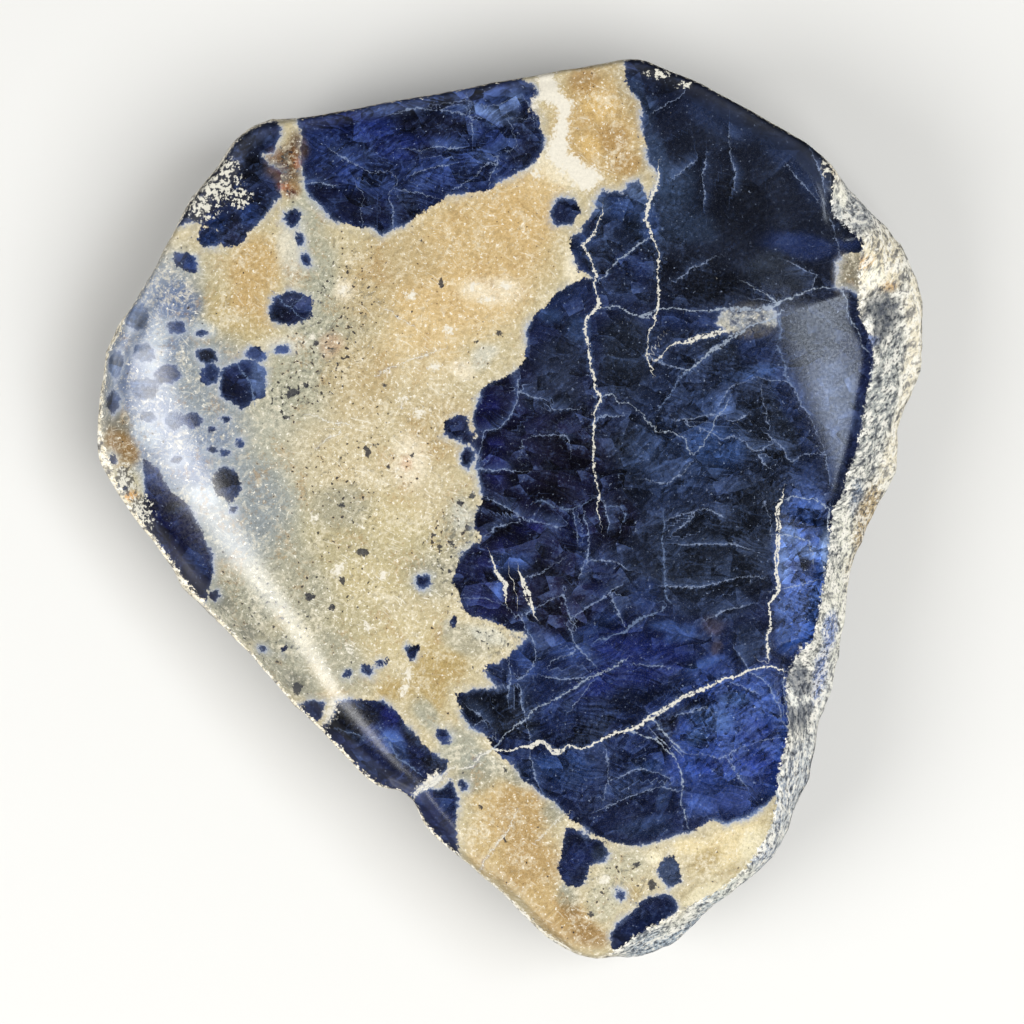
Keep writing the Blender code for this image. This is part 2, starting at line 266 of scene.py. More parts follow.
def square_to_rings(cells):
    """For a grid of cells + 1 points a side: each point's ring, 0 in the middle to 1 at the edge, and angle.

    Rings are squares on the grid. A point's angle follows its way round its own ring evenly."""
    side = np.linspace(-1, 1, cells + 1)
    u, v = np.meshgrid(side, side)
    ring = np.maximum(abs(u), abs(v))
    safe = np.where(ring == 0, 1, ring)
    left_or_top = np.where(u == -ring, 4 - v / safe, 6 + u / safe)
    across = np.where(u == ring, v / safe, np.where(v == ring, 2 - u / safe, left_or_top))
    return ring, across * (math.pi / 4)


def at_angle(loop, angle):
    """A loop's values, held at evenly spaced angles, read at any angles."""
    even = np.arange(len(loop)) * (2 * math.pi / len(loop))
    return np.interp(angle, even, loop, period=2 * math.pi)


def polar(radius, angle):
    """Sheet points at these radii and angles about the heart."""
    return np.stack([HEART[0] + radius * np.cos(angle), HEART[1] + radius * np.sin(angle)], axis=-1)


def grid_faces(index):
    """Quads of a grid of point numbers."""
    quads = [index[:-1, :-1], index[1:, :-1], index[1:, 1:], index[:-1, 1:]]
    return np.stack(quads, axis=-1).reshape(-1, 4)


def edge_of_grid(index):
    """The point numbers round a grid's edge, in the order of their angles, from angle 0."""
    ring = np.concatenate([index[:-1, -1], index[-1, :0:-1], index[:0:-1, 0], index[0, :-1]])
    return np.roll(ring, -(len(index) // 2))


def between(first, last, share, drop):
    """A row of points part of the way from one row to another, with its own share for the height."""
    return first + (last - first) * np.stack([share, share, drop], axis=-1)


angles = np.arange(COLUMNS) * (2 * math.pi / COLUMNS)
(edge_radius,) = closed_loop(FACE_EDGE, COLUMNS)
girdle_radius, girdle_height = closed_loop(GIRDLE, COLUMNS)
growth = 1 + (THICKNESS - girdle_height) / EYE_HEIGHT
girdle_xy = EYE + growth[:, None] * (polar(girdle_radius, angles) - EYE)

ring, angle = square_to_rings(GRID)
face_xy = polar(ring * at_angle(edge_radius, angle), angle).reshape(-1, 2)
from_edge = ((1 - ring) * at_angle(edge_radius, angle)).ravel()
face = np.column_stack([face_xy, face_height(face_xy, from_edge)])
face_index = np.arange(len(face)).reshape(ring.shape)
edge_numbers = edge_of_grid(face_index)

edge_points = face[edge_numbers]
girdle = np.column_stack([girdle_xy, girdle_height])
inward = polar(girdle_radius, angles) - HEART
inward /= np.hypot(*inward.T)[:, None]
rim_width = np.hypot(*(girdle_xy - edge_points[:, :2]).T)
narrow = soft_step(rim_width, WIDE_RIM, NARROW_RIM)
fall = (edge_points[:, 2] - girdle_height) / rim_width
square_edge = narrow * soft_step(fall, GENTLE_FALL, SHEER_FALL)
steepness = 1 + (WIDE_RIM_FALL - 1) * (1 - narrow) + (NARROW_RIM_FALL - 1) * square_edge
rows = []
for row in range(1, RIM_ROWS + 1):
    share = np.full(COLUMNS, row / RIM_ROWS)
    rows.append(between(edge_points, girdle, share, share**steepness))
for row in range(1, WALL_ROWS + 1):
    turn = 0.5 * math.pi * row / WALL_ROWS
    xy = girdle_xy - inward * FOOT_INSET * (1 - math.cos(turn))
    rows.append(np.column_stack([xy, girdle_height + (FOOT_HEIGHT - girdle_height) * math.sin(turn)]))
rows[-1] = rows[-1][::2]

under_ring, under_angle = square_to_rings(GRID // 2)
inside = under_ring < 1
foot_radius = np.hypot(*(rows[-1][:, :2] - HEART).T)
foot_xy = polar(under_ring * at_angle(foot_radius, under_angle), under_angle)[inside]
bowl = under_ring[inside] ** 3
under = np.column_stack([foot_xy, FOOT_HEIGHT * bowl - FOOT_SAG * (1 - bowl)])
wall_count = sum(map(len, rows))
print(len(face), "points on the face,", wall_count, "on rim and wall,", len(under), "underneath")

# %% [markdown]
# The wall and the underside are chipped flat in many places, as the real stone is where it was struck
# off. Each chip is a plane: whatever stands past it is moved back onto it. Lumps and scars then move the
# broken parts in and out, and the ground spot is made by lifting whatever would lie below the table onto
# it.

# %% Breaking the rim, the wall and the underside
CHIPS = 34
CHIP_ROUNDS = 2
CHIP_JITTER = 0.8
CHIP_BITE = (0.5, 1.9)
UPPER_DROOP = (28, 48)
LOWER_DROOP = (55, 78)
LUMP = 0.45
LUMP_SIZE = 7.0
SCAR = 1.5
SCAR_SIZE = 9.5
FLAKE = 0.22
FLAKE_SIZE = 2.6
SCAR_MIDDLE = 0.3
FLATNESS = 3
ROUGH_RIM_WIDTH = 4.0
RIM_BREAKAGE = ((0, 1 / 3, 1), (0, 0.6, 1))


def knock_off_chips(points, movable):
    """Moves what stands past each of the chips' planes back onto the plane."""
    random = np.random.default_rng(11)
    middle = np.array([*SHEET_MIDDLE, THICKNESS / 2])
    for chip in range(CHIPS):
        turn = 2 * math.pi * (chip + random.uniform(0, CHIP_JITTER)) / CHIPS * CHIP_ROUNDS
        droop = math.radians(random.uniform(*(UPPER_DROOP if chip < CHIPS // 2 else LOWER_DROOP)))
        outward = math.cos(droop)
        normal = np.array([math.cos(turn) * outward, math.sin(turn) * outward, -math.sin(droop)])
        reach = (points - middle) @ normal
        over = reach - (reach[movable].max() - random.uniform(*CHIP_BITE))
        points = points - np.where(movable & (over > 0), over, 0)[:, None] * normal
    return points


points = np.concatenate([face, *rows, under])
rim_end = len(face) + RIM_ROWS * COLUMNS
worn = np.clip(rim_width / ROUGH_RIM_WIDTH, 0.2, 1)

broken = np.ones(len(points))
broken[: len(face)] = 0
rim_share = np.arange(1, RIM_ROWS + 1) / RIM_ROWS
broken[len(face) : rim_end] = (np.interp(rim_share, *RIM_BREAKAGE)[:, None] * worn).ravel()

points = knock_off_chips(points, np.arange(len(points)) >= rim_end)
lumps = LUMP * rock_noise(points, LUMP_SIZE, 6, 5)
lumps += SCAR * (nearest_strewn(points, SCAR_SIZE, 3) - SCAR_MIDDLE)
lumps += FLAKE * (nearest_strewn(points, FLAKE_SIZE, 9) - SCAR_MIDDLE)
away = points - (*SHEET_MIDDLE, THICKNESS / 2)
away[:, 2] *= FLATNESS
away /= np.linalg.norm(away, axis=1)[:, None]
points += (broken * lumps)[:, None] * away
points[:, 2] = np.maximum(points[:, 2], 0)
print("the broken surface moves between", lumps.min().round(2), "and", lumps.max().round(2), "mm")

# %% [markdown]
# The rows are joined by quads, and one row of five-sided faces steps from the wall's columns down to half
# as many underneath, where less detail is needed. The sheet's y runs down the page and the scene's +Y
# runs up it, so the points are mirrored as they are placed, and the faces' order is chosen so that they
# still point outwards.

# %% Joining the surface
wall_rows = []
count = len(face)
for row in rows:
    wall_rows.append(count + np.arange(len(row)))
    count += len(row)
quads = [grid_faces(face_index)]
for upper, lower in zip([edge_numbers, *wall_rows[:-2]], wall_rows[:-1]):
    quads.append(np.stack([np.roll(upper, -1), np.roll(lower, -1), lower, upper], axis=-1))
above, foot = wall_rows[-2:]
step_down = np.stack([foot, np.roll(foot, -1), np.roll(above, -2)[::2], above[1::2], above[::2]], axis=-1)

under_index = np.zeros(under_ring.shape, int)
under_index[inside] = count + np.arange(len(under))
border = edge_of_grid(np.arange(under_index.size).reshape(under_index.shape))
under_index.ravel()[border] = foot
quads.append(grid_faces(under_index)[:, ::-1])

placed = (points - (*SHEET_MIDDLE, 0)) * (MM, -MM, MM)
mesh = bpy.data.meshes.new("sodalite_stone")
mesh.from_pydata(placed.tolist(), [], np.concatenate(quads).tolist() + step_down.tolist())
mesh.shade_smooth()
stone = bpy.data.objects.new("sodalite_stone", mesh)
bpy.context.scene.collection.objects.link(stone)
print("the stone has", sum(len(p.vertices) - 2 for p in mesh.polygons), "triangles")

# %% [markdown]
# The pattern belongs to the stone and not to its surface: on the face it is drawn as the sheet shows it,
# and down the wall and underneath it slides away and wanders, as crystals and veins do when they run
# through a stone at a slant. So every point of the surface gets a spot on the sheet, and all colours and
# veins are looked up there.

# %% Where the pattern is read
SLANT = (0.42, -0.30)
WANDER = 0.16
WANDER_SIZE = 6.0
RAGGED = 0.22
RAGGED_SIZE = 1.5


def pushed(size, seed):
    """Two columns of noise that push a point about on the sheet, across and down."""
    return np.column_stack([rock_noise(points, size, 2, seed + k) for k in (0, 10)])


girdle_above = np.concatenate([
    np.zeros(len(face)),
    np.tile(girdle_height, len(rows) - 1),
    girdle_height[::2],
    at_angle(girdle_height, under_angle[inside]) * bowl + girdle_height.mean() * (1 - bowl),
])
on_top = np.arange(len(points)) < rim_end
depth = np.where(on_top, 0, np.maximum(girdle_above - points[:, 2], 0))

growth_here = 1 + (THICKNESS - points[:, 2]) / EYE_HEIGHT
spot = EYE + (points[:, :2] - EYE) / growth_here[:, None]
spot += depth[:, None] * (np.array(SLANT) + WANDER * pushed(WANDER_SIZE, 21))
torn_spot = spot + RAGGED * pushed(RAGGED_SIZE, 41)
print("the pattern slides by", SLANT, "mm for each of up to", depth.max().round(1), "mm of depth")

# %% [markdown]
# Dark blue sodalite and cream rock meet along crisp, wandering borders. Each crystal is an outline on the
# sheet. The mesh carries the distance to the nearest border, positive inside the blue, because a distance
# blends truly between vertices and the material can then cut it as sharply as the real border is, at any
# zoom.

# %% Outlines of the blue crystals
MAIN_CRYSTAL = [
    (62.6, 3), (62.6, 8.1), (64, 10.2), (64, 12.5), (64.6, 14.5), (64.9, 16.3), (65.9, 17.3),
    (65.6, 18.6), (64.6, 20), (64.1, 18.1), (63.1, 18.3), (62, 19.3), (60.3, 19.1), (59.5, 20.1),
    (59, 21.4), (58.2, 22.9), (57.1, 23.7), (57.4, 25.5), (58, 27.3), (59.2, 27.8), (57.4, 28.2),
    (56.4, 28.7), (55.7, 29.4), (55, 30.3), (53.7, 31.6), (52.5, 32.8), (52.7, 34.6), (52.1, 36.2),
    (51.4, 37.5), (49.6, 38), (48.2, 39.1), (47.5, 40.9), (47.3, 41.9), (47.6, 43.7), (47.1, 44.6),
    (47.7, 45.9), (47.9, 48), (48, 49.1), (47.9, 50.5), (47.3, 51.6), (47.3, 53), (48.4, 53.9),
    (47.5, 54.3), (46.1, 55.3), (45.7, 56.8), (45.4, 57.8), (45.9, 59.3), (46.1, 60.7), (46.8, 61.4),
    (48, 61.8), (49.8, 62.5), (52, 63.2), (52.8, 63.7), (51.4, 65), (50.9, 65.7), (49.6, 66.2),
    (48.4, 66.4), (48.4, 67.5), (49.5, 68.7), (50.5, 68.9), (47.1, 69), (45.5, 69.3), (45.9, 70.7),
    (46.4, 71.8), (47.3, 72.8), (48.7, 73.4), (49.2, 74.9), (51.4, 76.5), (52.6, 78.1), (54.1, 79.4),
    (55.8, 80.7), (57.2, 82), (58.6, 83.1), (60.7, 84.2), (62.5, 84.5), (64.1, 84.6), (65.9, 84.3),
    (67.3, 83.9), (69.1, 83.2), (71.4, 82.1), (72.8, 82.7), (75.1, 81.6), (76.6, 80.5), (78.2, 79),
    (79, 77.2), (84, 76), (100, 76), (100, 3),
]
TOP_LEFT_CRYSTAL = [
    (29.6, 8), (52.4, 4), (52.3, 7.9), (53.7, 8.8), (54.1, 9.5), (53, 10.6), (53.9, 11.9), (54.6, 14),
    (54.5, 14.9), (53.7, 16.1), (52.1, 17), (50.3, 18.1), (48.6, 19.2), (46.4, 19.5), (44.6, 19.7),
    (43.6, 20.6), (42.1, 21.5), (40.7, 22.6), (39.3, 22.9), (38, 23.5), (37.3, 22.7), (35.3, 22.7),
    (33.7, 22.4), (32.3, 21), (30.7, 19.5), (30.3, 18.3), (30, 15.4), (29.9, 12.9),
]
CORNER_CRYSTAL = [
    (24.5, 10), (27.3, 10.5), (28, 13), (27.5, 15), (26.2, 15.5), (28.3, 17.5), (28, 19.6),
    (26.6, 21.5), (25, 23.3), (24, 24.4), (22.2, 24.8), (21.6, 23), (19.4, 22.4), (15, 23), (15, 12),
]
BEVEL_CRYSTAL = [
    (14.3, 45.8), (16, 47), (16.9, 49), (18.5, 50), (19.8, 52.5), (21.4, 55.3), (21.3, 58), (20.6, 60),
    (17, 62), (12, 57), (13.6, 52), (14.4, 50),
]
LOWER_LEFT_CRYSTAL = [
    (33.6, 70.2), (35.1, 69.9), (38.4, 70.1), (39.7, 71.1), (40.5, 72.1), (42, 74.2), (43, 75.2),
    (44.9, 76.1), (44.6, 77.4), (43.2, 78), (41.8, 78.9), (40, 83), (29, 76), (31.4, 72.9),
    (32.6, 72.2), (33.2, 71.4),
]
EDGE_CRYSTAL = [
    (30, 70.4), (31.5, 69.9), (32.7, 70.2), (32.3, 71.6), (31.2, 72.4), (30, 74), (27.5, 71.5),
]
TIP_CRYSTAL = [
    (41.7, 79.4), (42.6, 78.9), (44, 79), (45.3, 78.2), (45.9, 80), (45.7, 82.5), (45.8, 86.2),
    (43, 88), (39, 83),
]
FOOT_CRYSTAL = [
    (56.8, 82.6), (57.8, 82.9), (58.6, 83.6), (60, 84.2), (60.9, 85.2), (60.6, 86.2), (59.2, 86.6),
    (58.8, 87.6), (57.8, 88.8), (56.6, 88.4), (55.8, 87.2), (56, 85.2),
]
LAST_CRYSTAL = [
    (61.4, 94.8), (61, 93.7), (62.1, 92), (64.1, 90.2), (65.5, 89.4), (66.6, 89.3), (67.5, 90.3),
    (67.8, 91.1), (66.6, 92.1), (64.8, 93.3), (63.2, 97),
]
SMOKY_CRYSTAL = [(66.1, 86.0), (67.2, 85.2), (68.0, 86.8), (68.1, 88.2), (66.8, 89.0), (65.9, 87.5)]
CRYSTALS = [
    MAIN_CRYSTAL, TOP_LEFT_CRYSTAL, CORNER_CRYSTAL, BEVEL_CRYSTAL, LOWER_LEFT_CRYSTAL, EDGE_CRYSTAL,
    TIP_CRYSTAL, FOOT_CRYSTAL, LAST_CRYSTAL, SMOKY_CRYSTAL,
]

# Small crystals afloat in the cream: x, y, half length across, half length down, and degrees turned, if any.
SMALL_CRYSTALS = [
    (29.1, 30.9, 2.25, 1.75, -10), (20.6, 35.6, 1.15, 0.85, 10), (21, 37.5, 1, 1.15, 30),
    (24.3, 38.2, 2.4, 2.5, 30), (25.6, 35.4, 1.3, 0.8, 20), (28.2, 35, 0.75, 0.5),
    (16.6, 37.5, 1.5, 1.05, -10), (19.3, 42.1, 1.1, 0.8), (21.3, 45, 0.6, 0.45),
    (22.4, 45.3, 0.5, 0.45), (21.2, 43, 0.5, 0.3), (22.6, 42, 0.5, 0.45), (22.7, 48.4, 1.45, 1.8, -20),
    (29.2, 21.8, 1, 0.95), (30.1, 23.8, 0.5, 0.75, -20), (30.7, 25.9, 0.6, 0.9, -25),
    (56.4, 21.2, 1.45, 1.65, 20), (45.7, 42.8, 1.35, 1.4), (46.6, 43.9, 0.9, 0.7),
    (46.8, 45.9, 0.75, 1.2), (42.4, 58.2, 0.8, 0.8), (45.3, 62.3, 0.45, 0.7, 20),
    (41.3, 65.2, 0.6, 1, 20), (38.1, 66.2, 0.75, 0.35, -15), (36.8, 67, 0.65, 0.6),
    (34.7, 67.4, 0.6, 0.5), (44.3, 73.6, 0.8, 0.8), (46.4, 78.6, 0.5, 0.6), (20.8, 23.8, 1.2, 1.05, 20),
    (18.6, 26.2, 1.4, 0.85, 30), (11.2, 46, 0.45, 0.5), (12.3, 48.6, 0.45, 0.5), (21.5, 59.5, 0.5, 0.6),
    (26.3, 64.8, 0.5, 0.4), (28.5, 65, 0.35, 0.35), (73.4, 32.1, 0.5, 0.35), (75, 32, 0.45, 0.3, 10),
    (76.3, 31.6, 0.3, 0.3), (20.2, 33.2, 0.5, 0.4), (62, 89.5, 0.6, 0.5), (11.6, 36.5, 0.8, 1.6, 10),
    (14.9, 41.6, 0.8, 0.6), (13.8, 31.8, 1.2, 1.5, 20), (17.6, 32.6, 1, 0.8), (17.8, 46, 0.7, 0.5),
    (11.3, 40.2, 0.8, 1.2), (23.4, 50.9, 0.5, 0.5), (17.3, 42.1, 1.1, 1, 20), (14.4, 38.8, 1.4, 1.2),
    (14.4, 35.3, 1.2, 1, 30), (23.9, 44.2, 0.5, 0.5),
]

# Cream that reaches into the blue.
CREAM_INLETS = [
    [(83.6, 26.2), (84.8, 25.5), (86.4, 25.2), (86.6, 29.2), (85.8, 29.6), (85.1, 29), (83.5, 28.8)],
    [
        (72.2, 30.9), (75.1, 31.3), (77.2, 30.8), (77.8, 32.7), (76, 32.1), (73.8, 33), (72.6, 33.4),
        (71.6, 32.4),
    ],
]

CORNERED = 0.93
SPUN = 7


def inside_outline(xy, outline):
    """Distance to a closed outline's nearest side, positive inside.

    A point is inside if a line drawn left from it crosses the outline an odd number of times."""
    corners = np.array(outline)
    nearest = np.full(len(xy), np.inf)
    odd = np.zeros(len(xy), bool)
    for start, end in zip(corners, np.roll(corners, -1, axis=0)):
        along = end - start
        offset = xy - start
        share = np.clip(offset @ along / (along @ along), 0, 1)
        nearest = np.minimum(nearest, np.hypot(*(offset - share[:, None] * along).T))
        rise = along[1] if along[1] else 1
        crosses = (start[1] > xy[:, 1]) != (end[1] > xy[:, 1])
        odd ^= crosses & (offset[:, 0] < offset[:, 1] * along[0] / rise)
    return np.where(odd, nearest, -nearest)


def oval_reach(xy, x, y, across, down, turn=0):
    """How far out points lie in an oval: 0 in its middle, 1 on its edge."""
    cosine, sine = math.cos(math.radians(turn)), math.sin(math.radians(turn))
    dx, dy = (xy - (x, y)).T
    return np.hypot((dx * cosine + dy * sine) / across, (dy * cosine - dx * sine) / down)


def inside_hexagon(xy, x, y, across, down, turn=0):
    """About the distance to a six-sided patch's edge, positive inside.

    It is what is left of its reach, times its mean radius. A side's reach is the oval's times the cosine of
    the angle to the middle of the side, and its corners stand a little outside the oval. Each patch is spun
    by its own amount."""
    wedge = math.pi / 3
    dx, dy = (xy - (x, y)).T
    facing = (np.arctan2(dy, dx) + SPUN * x) % wedge - wedge / 2
    reach = oval_reach(xy, x, y, across, down, turn) * np.cos(facing) / CORNERED
    return (1 - reach) * math.sqrt(across * down)


blue_side = np.max([inside_outline(torn_spot, outline) for outline in CRYSTALS], axis=0)
for inlet in CREAM_INLETS:
    blue_side = np.minimum(blue_side, -inside_outline(torn_spot, inlet))
for crystal in SMALL_CRYSTALS:
    blue_side = np.maximum(blue_side, inside_hexagon(torn_spot, *crystal))
print("blue crystal covers", (blue_side[: len(face)] > 0).mean().round(2), "of the face")

# %% [markdown]
# Chalk-white rock fills the seam at the top between the two largest crystals. It is outlined like the
# blue. White crust clings to the upper left corner and the left edge. It only dusts the stone, so it is a
# few soft ovals.

# %% Chalk, crust and black grains
CHALK = [
    [
        (53.1, 6), (54.9, 5.6), (55.9, 9.2), (57.2, 10.1), (57, 11.9), (56.8, 14), (57, 15.6),
        (58.1, 16.1), (59.7, 16.9), (60.2, 18.1), (59.1, 19.2), (57.4, 18.8), (55.6, 16.5),
        (54.7, 15.4), (55.2, 14), (55.7, 12.4), (55.6, 10.8), (54.3, 10.2), (53.1, 11.1), (53.4, 10.1),
        (54.1, 9.5),
    ],
    [(42.4, 78.5), (43.6, 77.1), (44.5, 78), (42.4, 78.9), (41.5, 79.3)],
    [(32.5, 72.5), (32.9, 70.6), (33.4, 70), (33.8, 70.6), (33, 72)],
    [(80, 64.9), (80.7, 65.2), (80.4, 65.7), (79.9, 65.5)],
]
CRUST_FADE = 0.8
CRUST_SPOTS = [
    (22.6, 16.8, 1.2, 1.1), (21.6, 18.8, 2.6, 1.8), (20.2, 20.6, 1.6, 1.4), (24, 19.8, 1.2, 1),
    (12.3, 48, 1.3, 1.6), (13.9, 51.4, 1.4, 2.2), (65.8, 7.4, 1.3, 0.5), (68.4, 8.5, 0.9, 0.4),
    (82.6, 16.7, 0.5, 0.9),
]

# White blotches and black grains in the cream are given like the small crystals.
WHITE_BLOTCHES = [
    (34.5, 28.9, 0.45, 0.4), (45, 32.8, 0.4, 0.3), (43.5, 36.5, 0.4, 0.4), (42, 41.3, 0.4, 0.3),
    (40.3, 40.2, 0.3, 0.3), (40.5, 69, 0.6, 0.35, -60), (40.8, 67.6, 0.3, 0.5),
    (47.2, 28.8, 0.5, 0.25, -20), (50.6, 28.6, 0.6, 0.25, 10), (48.6, 30, 0.5, 0.2),
    (57.4, 17.6, 1, 0.5, 20), (53.6, 17.4, 0.5, 0.5), (41.2, 29.6, 0.5, 0.3), (36.6, 62.6, 0.35, 0.3),
    (31.4, 51.8, 0.3, 0.3), (33.8, 57, 0.3, 0.45, 30), (38.5, 57.5, 0.35, 0.25), (35, 64.8, 0.3, 0.3),
    (60.6, 88, 0.5, 0.3), (31.4, 33.6, 0.3, 0.25),
]
BLACK_GRAINS = [
    (43.9, 28.3, 0.3, 0.45), (38.4, 38.5, 0.22, 0.22), (36.8, 45, 0.4, 0.55), (41.1, 45.5, 0.25, 0.3),
    (39, 46.7, 0.25, 0.25), (37.8, 44.3, 0.2, 0.2), (50, 33.3, 0.22, 0.3), (47.8, 34.3, 0.22, 0.22),
    (34.1, 50.4, 0.3, 0.3), (34.1, 58, 0.35, 0.25, 30), (36.2, 55.2, 0.7, 0.4), (50.4, 83.8, 0.2, 0.35),
    (30.4, 38.4, 0.4, 0.25, 20), (29.2, 39.3, 0.8, 0.4, -30), (31.6, 34.4, 0.3, 0.4, 20),
    (42, 24, 0.2, 0.25), (31, 59.6, 0.5, 0.35), (43.6, 53.5, 0.3, 0.3), (46, 50.2, 0.3, 0.4),
    (28.6, 41.8, 0.3, 0.3), (33.8, 36.8, 0.2, 0.25), (37.2, 25.3, 0.2, 0.2), (63.6, 86.6, 0.5, 0.35),
    (65, 88.4, 0.4, 0.5), (47.3, 49.6, 0.3, 0.25), (46.6, 52.9, 0.45, 0.3), (45.3, 54.3, 0.3, 0.4),
    (44.2, 54.8, 0.35, 0.25), (46, 56.2, 0.3, 0.45), (29.7, 68.9, 0.4, 0.6), (33, 60.8, 0.3, 0.35),
    (45, 57, 0.25, 0.3), (59.2, 91.4, 0.3, 0.4), (50.4, 77, 0.25, 0.3), (53, 75.6, 0.2, 0.25),
    (48, 80.6, 0.25, 0.25),
]

chalk_side = np.max([inside_outline(torn_spot, outline) for outline in CHALK], axis=0)
for blotch in WHITE_BLOTCHES:
    chalk_side = np.maximum(chalk_side, inside_hexagon(torn_spot, *blotch))
black_side = np.max([inside_hexagon(torn_spot, *grain) for grain in BLACK_GRAINS], axis=0)
crust = np.max([1 - CRUST_FADE * oval_reach(spot, *oval) for oval in CRUST_SPOTS], axis=0).clip(-1, 1)
print(len(CHALK), "outlines of chalk,", len(CRUST_SPOTS), "spots of crust")
print(len(WHITE_BLOTCHES), "white blotches and", len(BLACK_GRAINS), "black grains")

# %% [markdown]
# Veins are cracks that healed with white mineral. Each is a line of points that hold x, y and half the
# vein's width. For each vertex the nearest vein's distance is kept with a sign that tells its two sides
# apart, so that it passes through zero between vertices and the material can draw a vein far thinner than
# the mesh is fine. Where veins cross they go into different sets, because one set knows only its nearest
# vein. Hairlines are cleavage seen edge on, all of one width, so their lines hold x and y alone.

# %% The veins
WHITE_VEINS = [
    [
        (41.5, 79.3, 0.25), (43.6, 78.4, 0.3), (44.5, 77.4, 0.15), (45.6, 76.9, 0.13),
        (47.1, 76.5, 0.12), (47.9, 75.8, 0.12), (49.2, 74.7, 0.14), (49.9, 74.9, 0.15),
        (51.4, 74.8, 0.16), (52.9, 74.9, 0.2), (53.7, 74.4, 0.3), (54.2, 74.3, 0.22), (55.2, 75, 0.36),
        (55.8, 75.1, 0.28), (56.8, 74.6, 0.15), (57.8, 74.8, 0.15), (59.3, 74.4, 0.15),
        (60.4, 73.9, 0.16), (61.9, 73.1, 0.2), (63.2, 72.9, 0.2), (64.4, 72.4, 0.2), (65.2, 71.8, 0.26),
        (66.2, 71, 0.26), (67.5, 70.1, 0.22), (69, 69.5, 0.26), (70.3, 68.9, 0.22), (71.6, 68.1, 0.16),
        (73.4, 67.6, 0.22), (74.7, 67, 0.18), (76.2, 66.7, 0.14), (77.5, 66.7, 0.12), (78.2, 67, 0.08),
    ],
    [
        (60, 21.4, 0.1), (59.4, 23.4, 0.12), (58.3, 24.7, 0.16), (59, 25.7, 0.16), (59.6, 27.3, 0.18),
        (59.6, 29.6, 0.18), (59.9, 30.6, 0.24), (58.8, 31.6, 0.16), (58.7, 33.9, 0.18),
        (59, 36.4, 0.16), (59.7, 39.1, 0.2), (60.3, 39.6, 0.2), (59.5, 41.2, 0.14), (59.4, 43.2, 0.15),
        (59.5, 45.7, 0.12), (59.5, 48, 0.1), (59.8, 49.8, 0.08), (59.9, 52, 0.06),
    ],
    [
        (65.9, 17.3, 0.16), (65.6, 18.8, 0.2), (64.7, 20.4, 0.24), (64.6, 21.9, 0.2),
        (65.4, 23.9, 0.16), (65.9, 25.2, 0.14), (65.9, 28.5, 0.13), (65.9, 30.1, 0.16),
        (65.6, 32.1, 0.1), (64.7, 33.9, 0.08), (64.6, 35.2, 0.1), (65.1, 36.7, 0.08),
    ],
    [
        (78.2, 49.8, 0.18), (77.8, 51.4, 0.26), (78, 53.5, 0.28), (77.8, 56.2, 0.28),
        (77.7, 59.2, 0.22), (76.8, 60.5, 0.16), (77.1, 62.5, 0.16), (76.7, 63.8, 0.18),
        (76.8, 65.6, 0.12),
    ],
    [(49.2, 55.6, 0.1), (49.8, 57, 0.2), (50.4, 58.4, 0.26), (50.6, 60, 0.12)],
    [(51.8, 57.2, 0.12), (52.3, 58.8, 0.34), (52.8, 59.8, 0.34), (53.4, 60.9, 0.2)],
    [(38, 37.3, 0.05), (44, 35, 0.07)],
    [(38.5, 31, 0.05), (40.8, 32.5, 0.06)],
    [(31, 41.5, 0.05), (35, 42.5, 0.07)],
    [(32, 44.5, 0.05), (34, 43, 0.06)],
    [(47.6, 87.4, 0.05), (51.6, 81.4, 0.06)],
    [(72.5, 33.2, 0.22), (70, 33.8, 0.26), (67.9, 34.3, 0.16), (66.7, 34.9, 0.1), (65.4, 36, 0.06)],
    [(54, 84, 0.05), (56.4, 81.6, 0.06)],
]
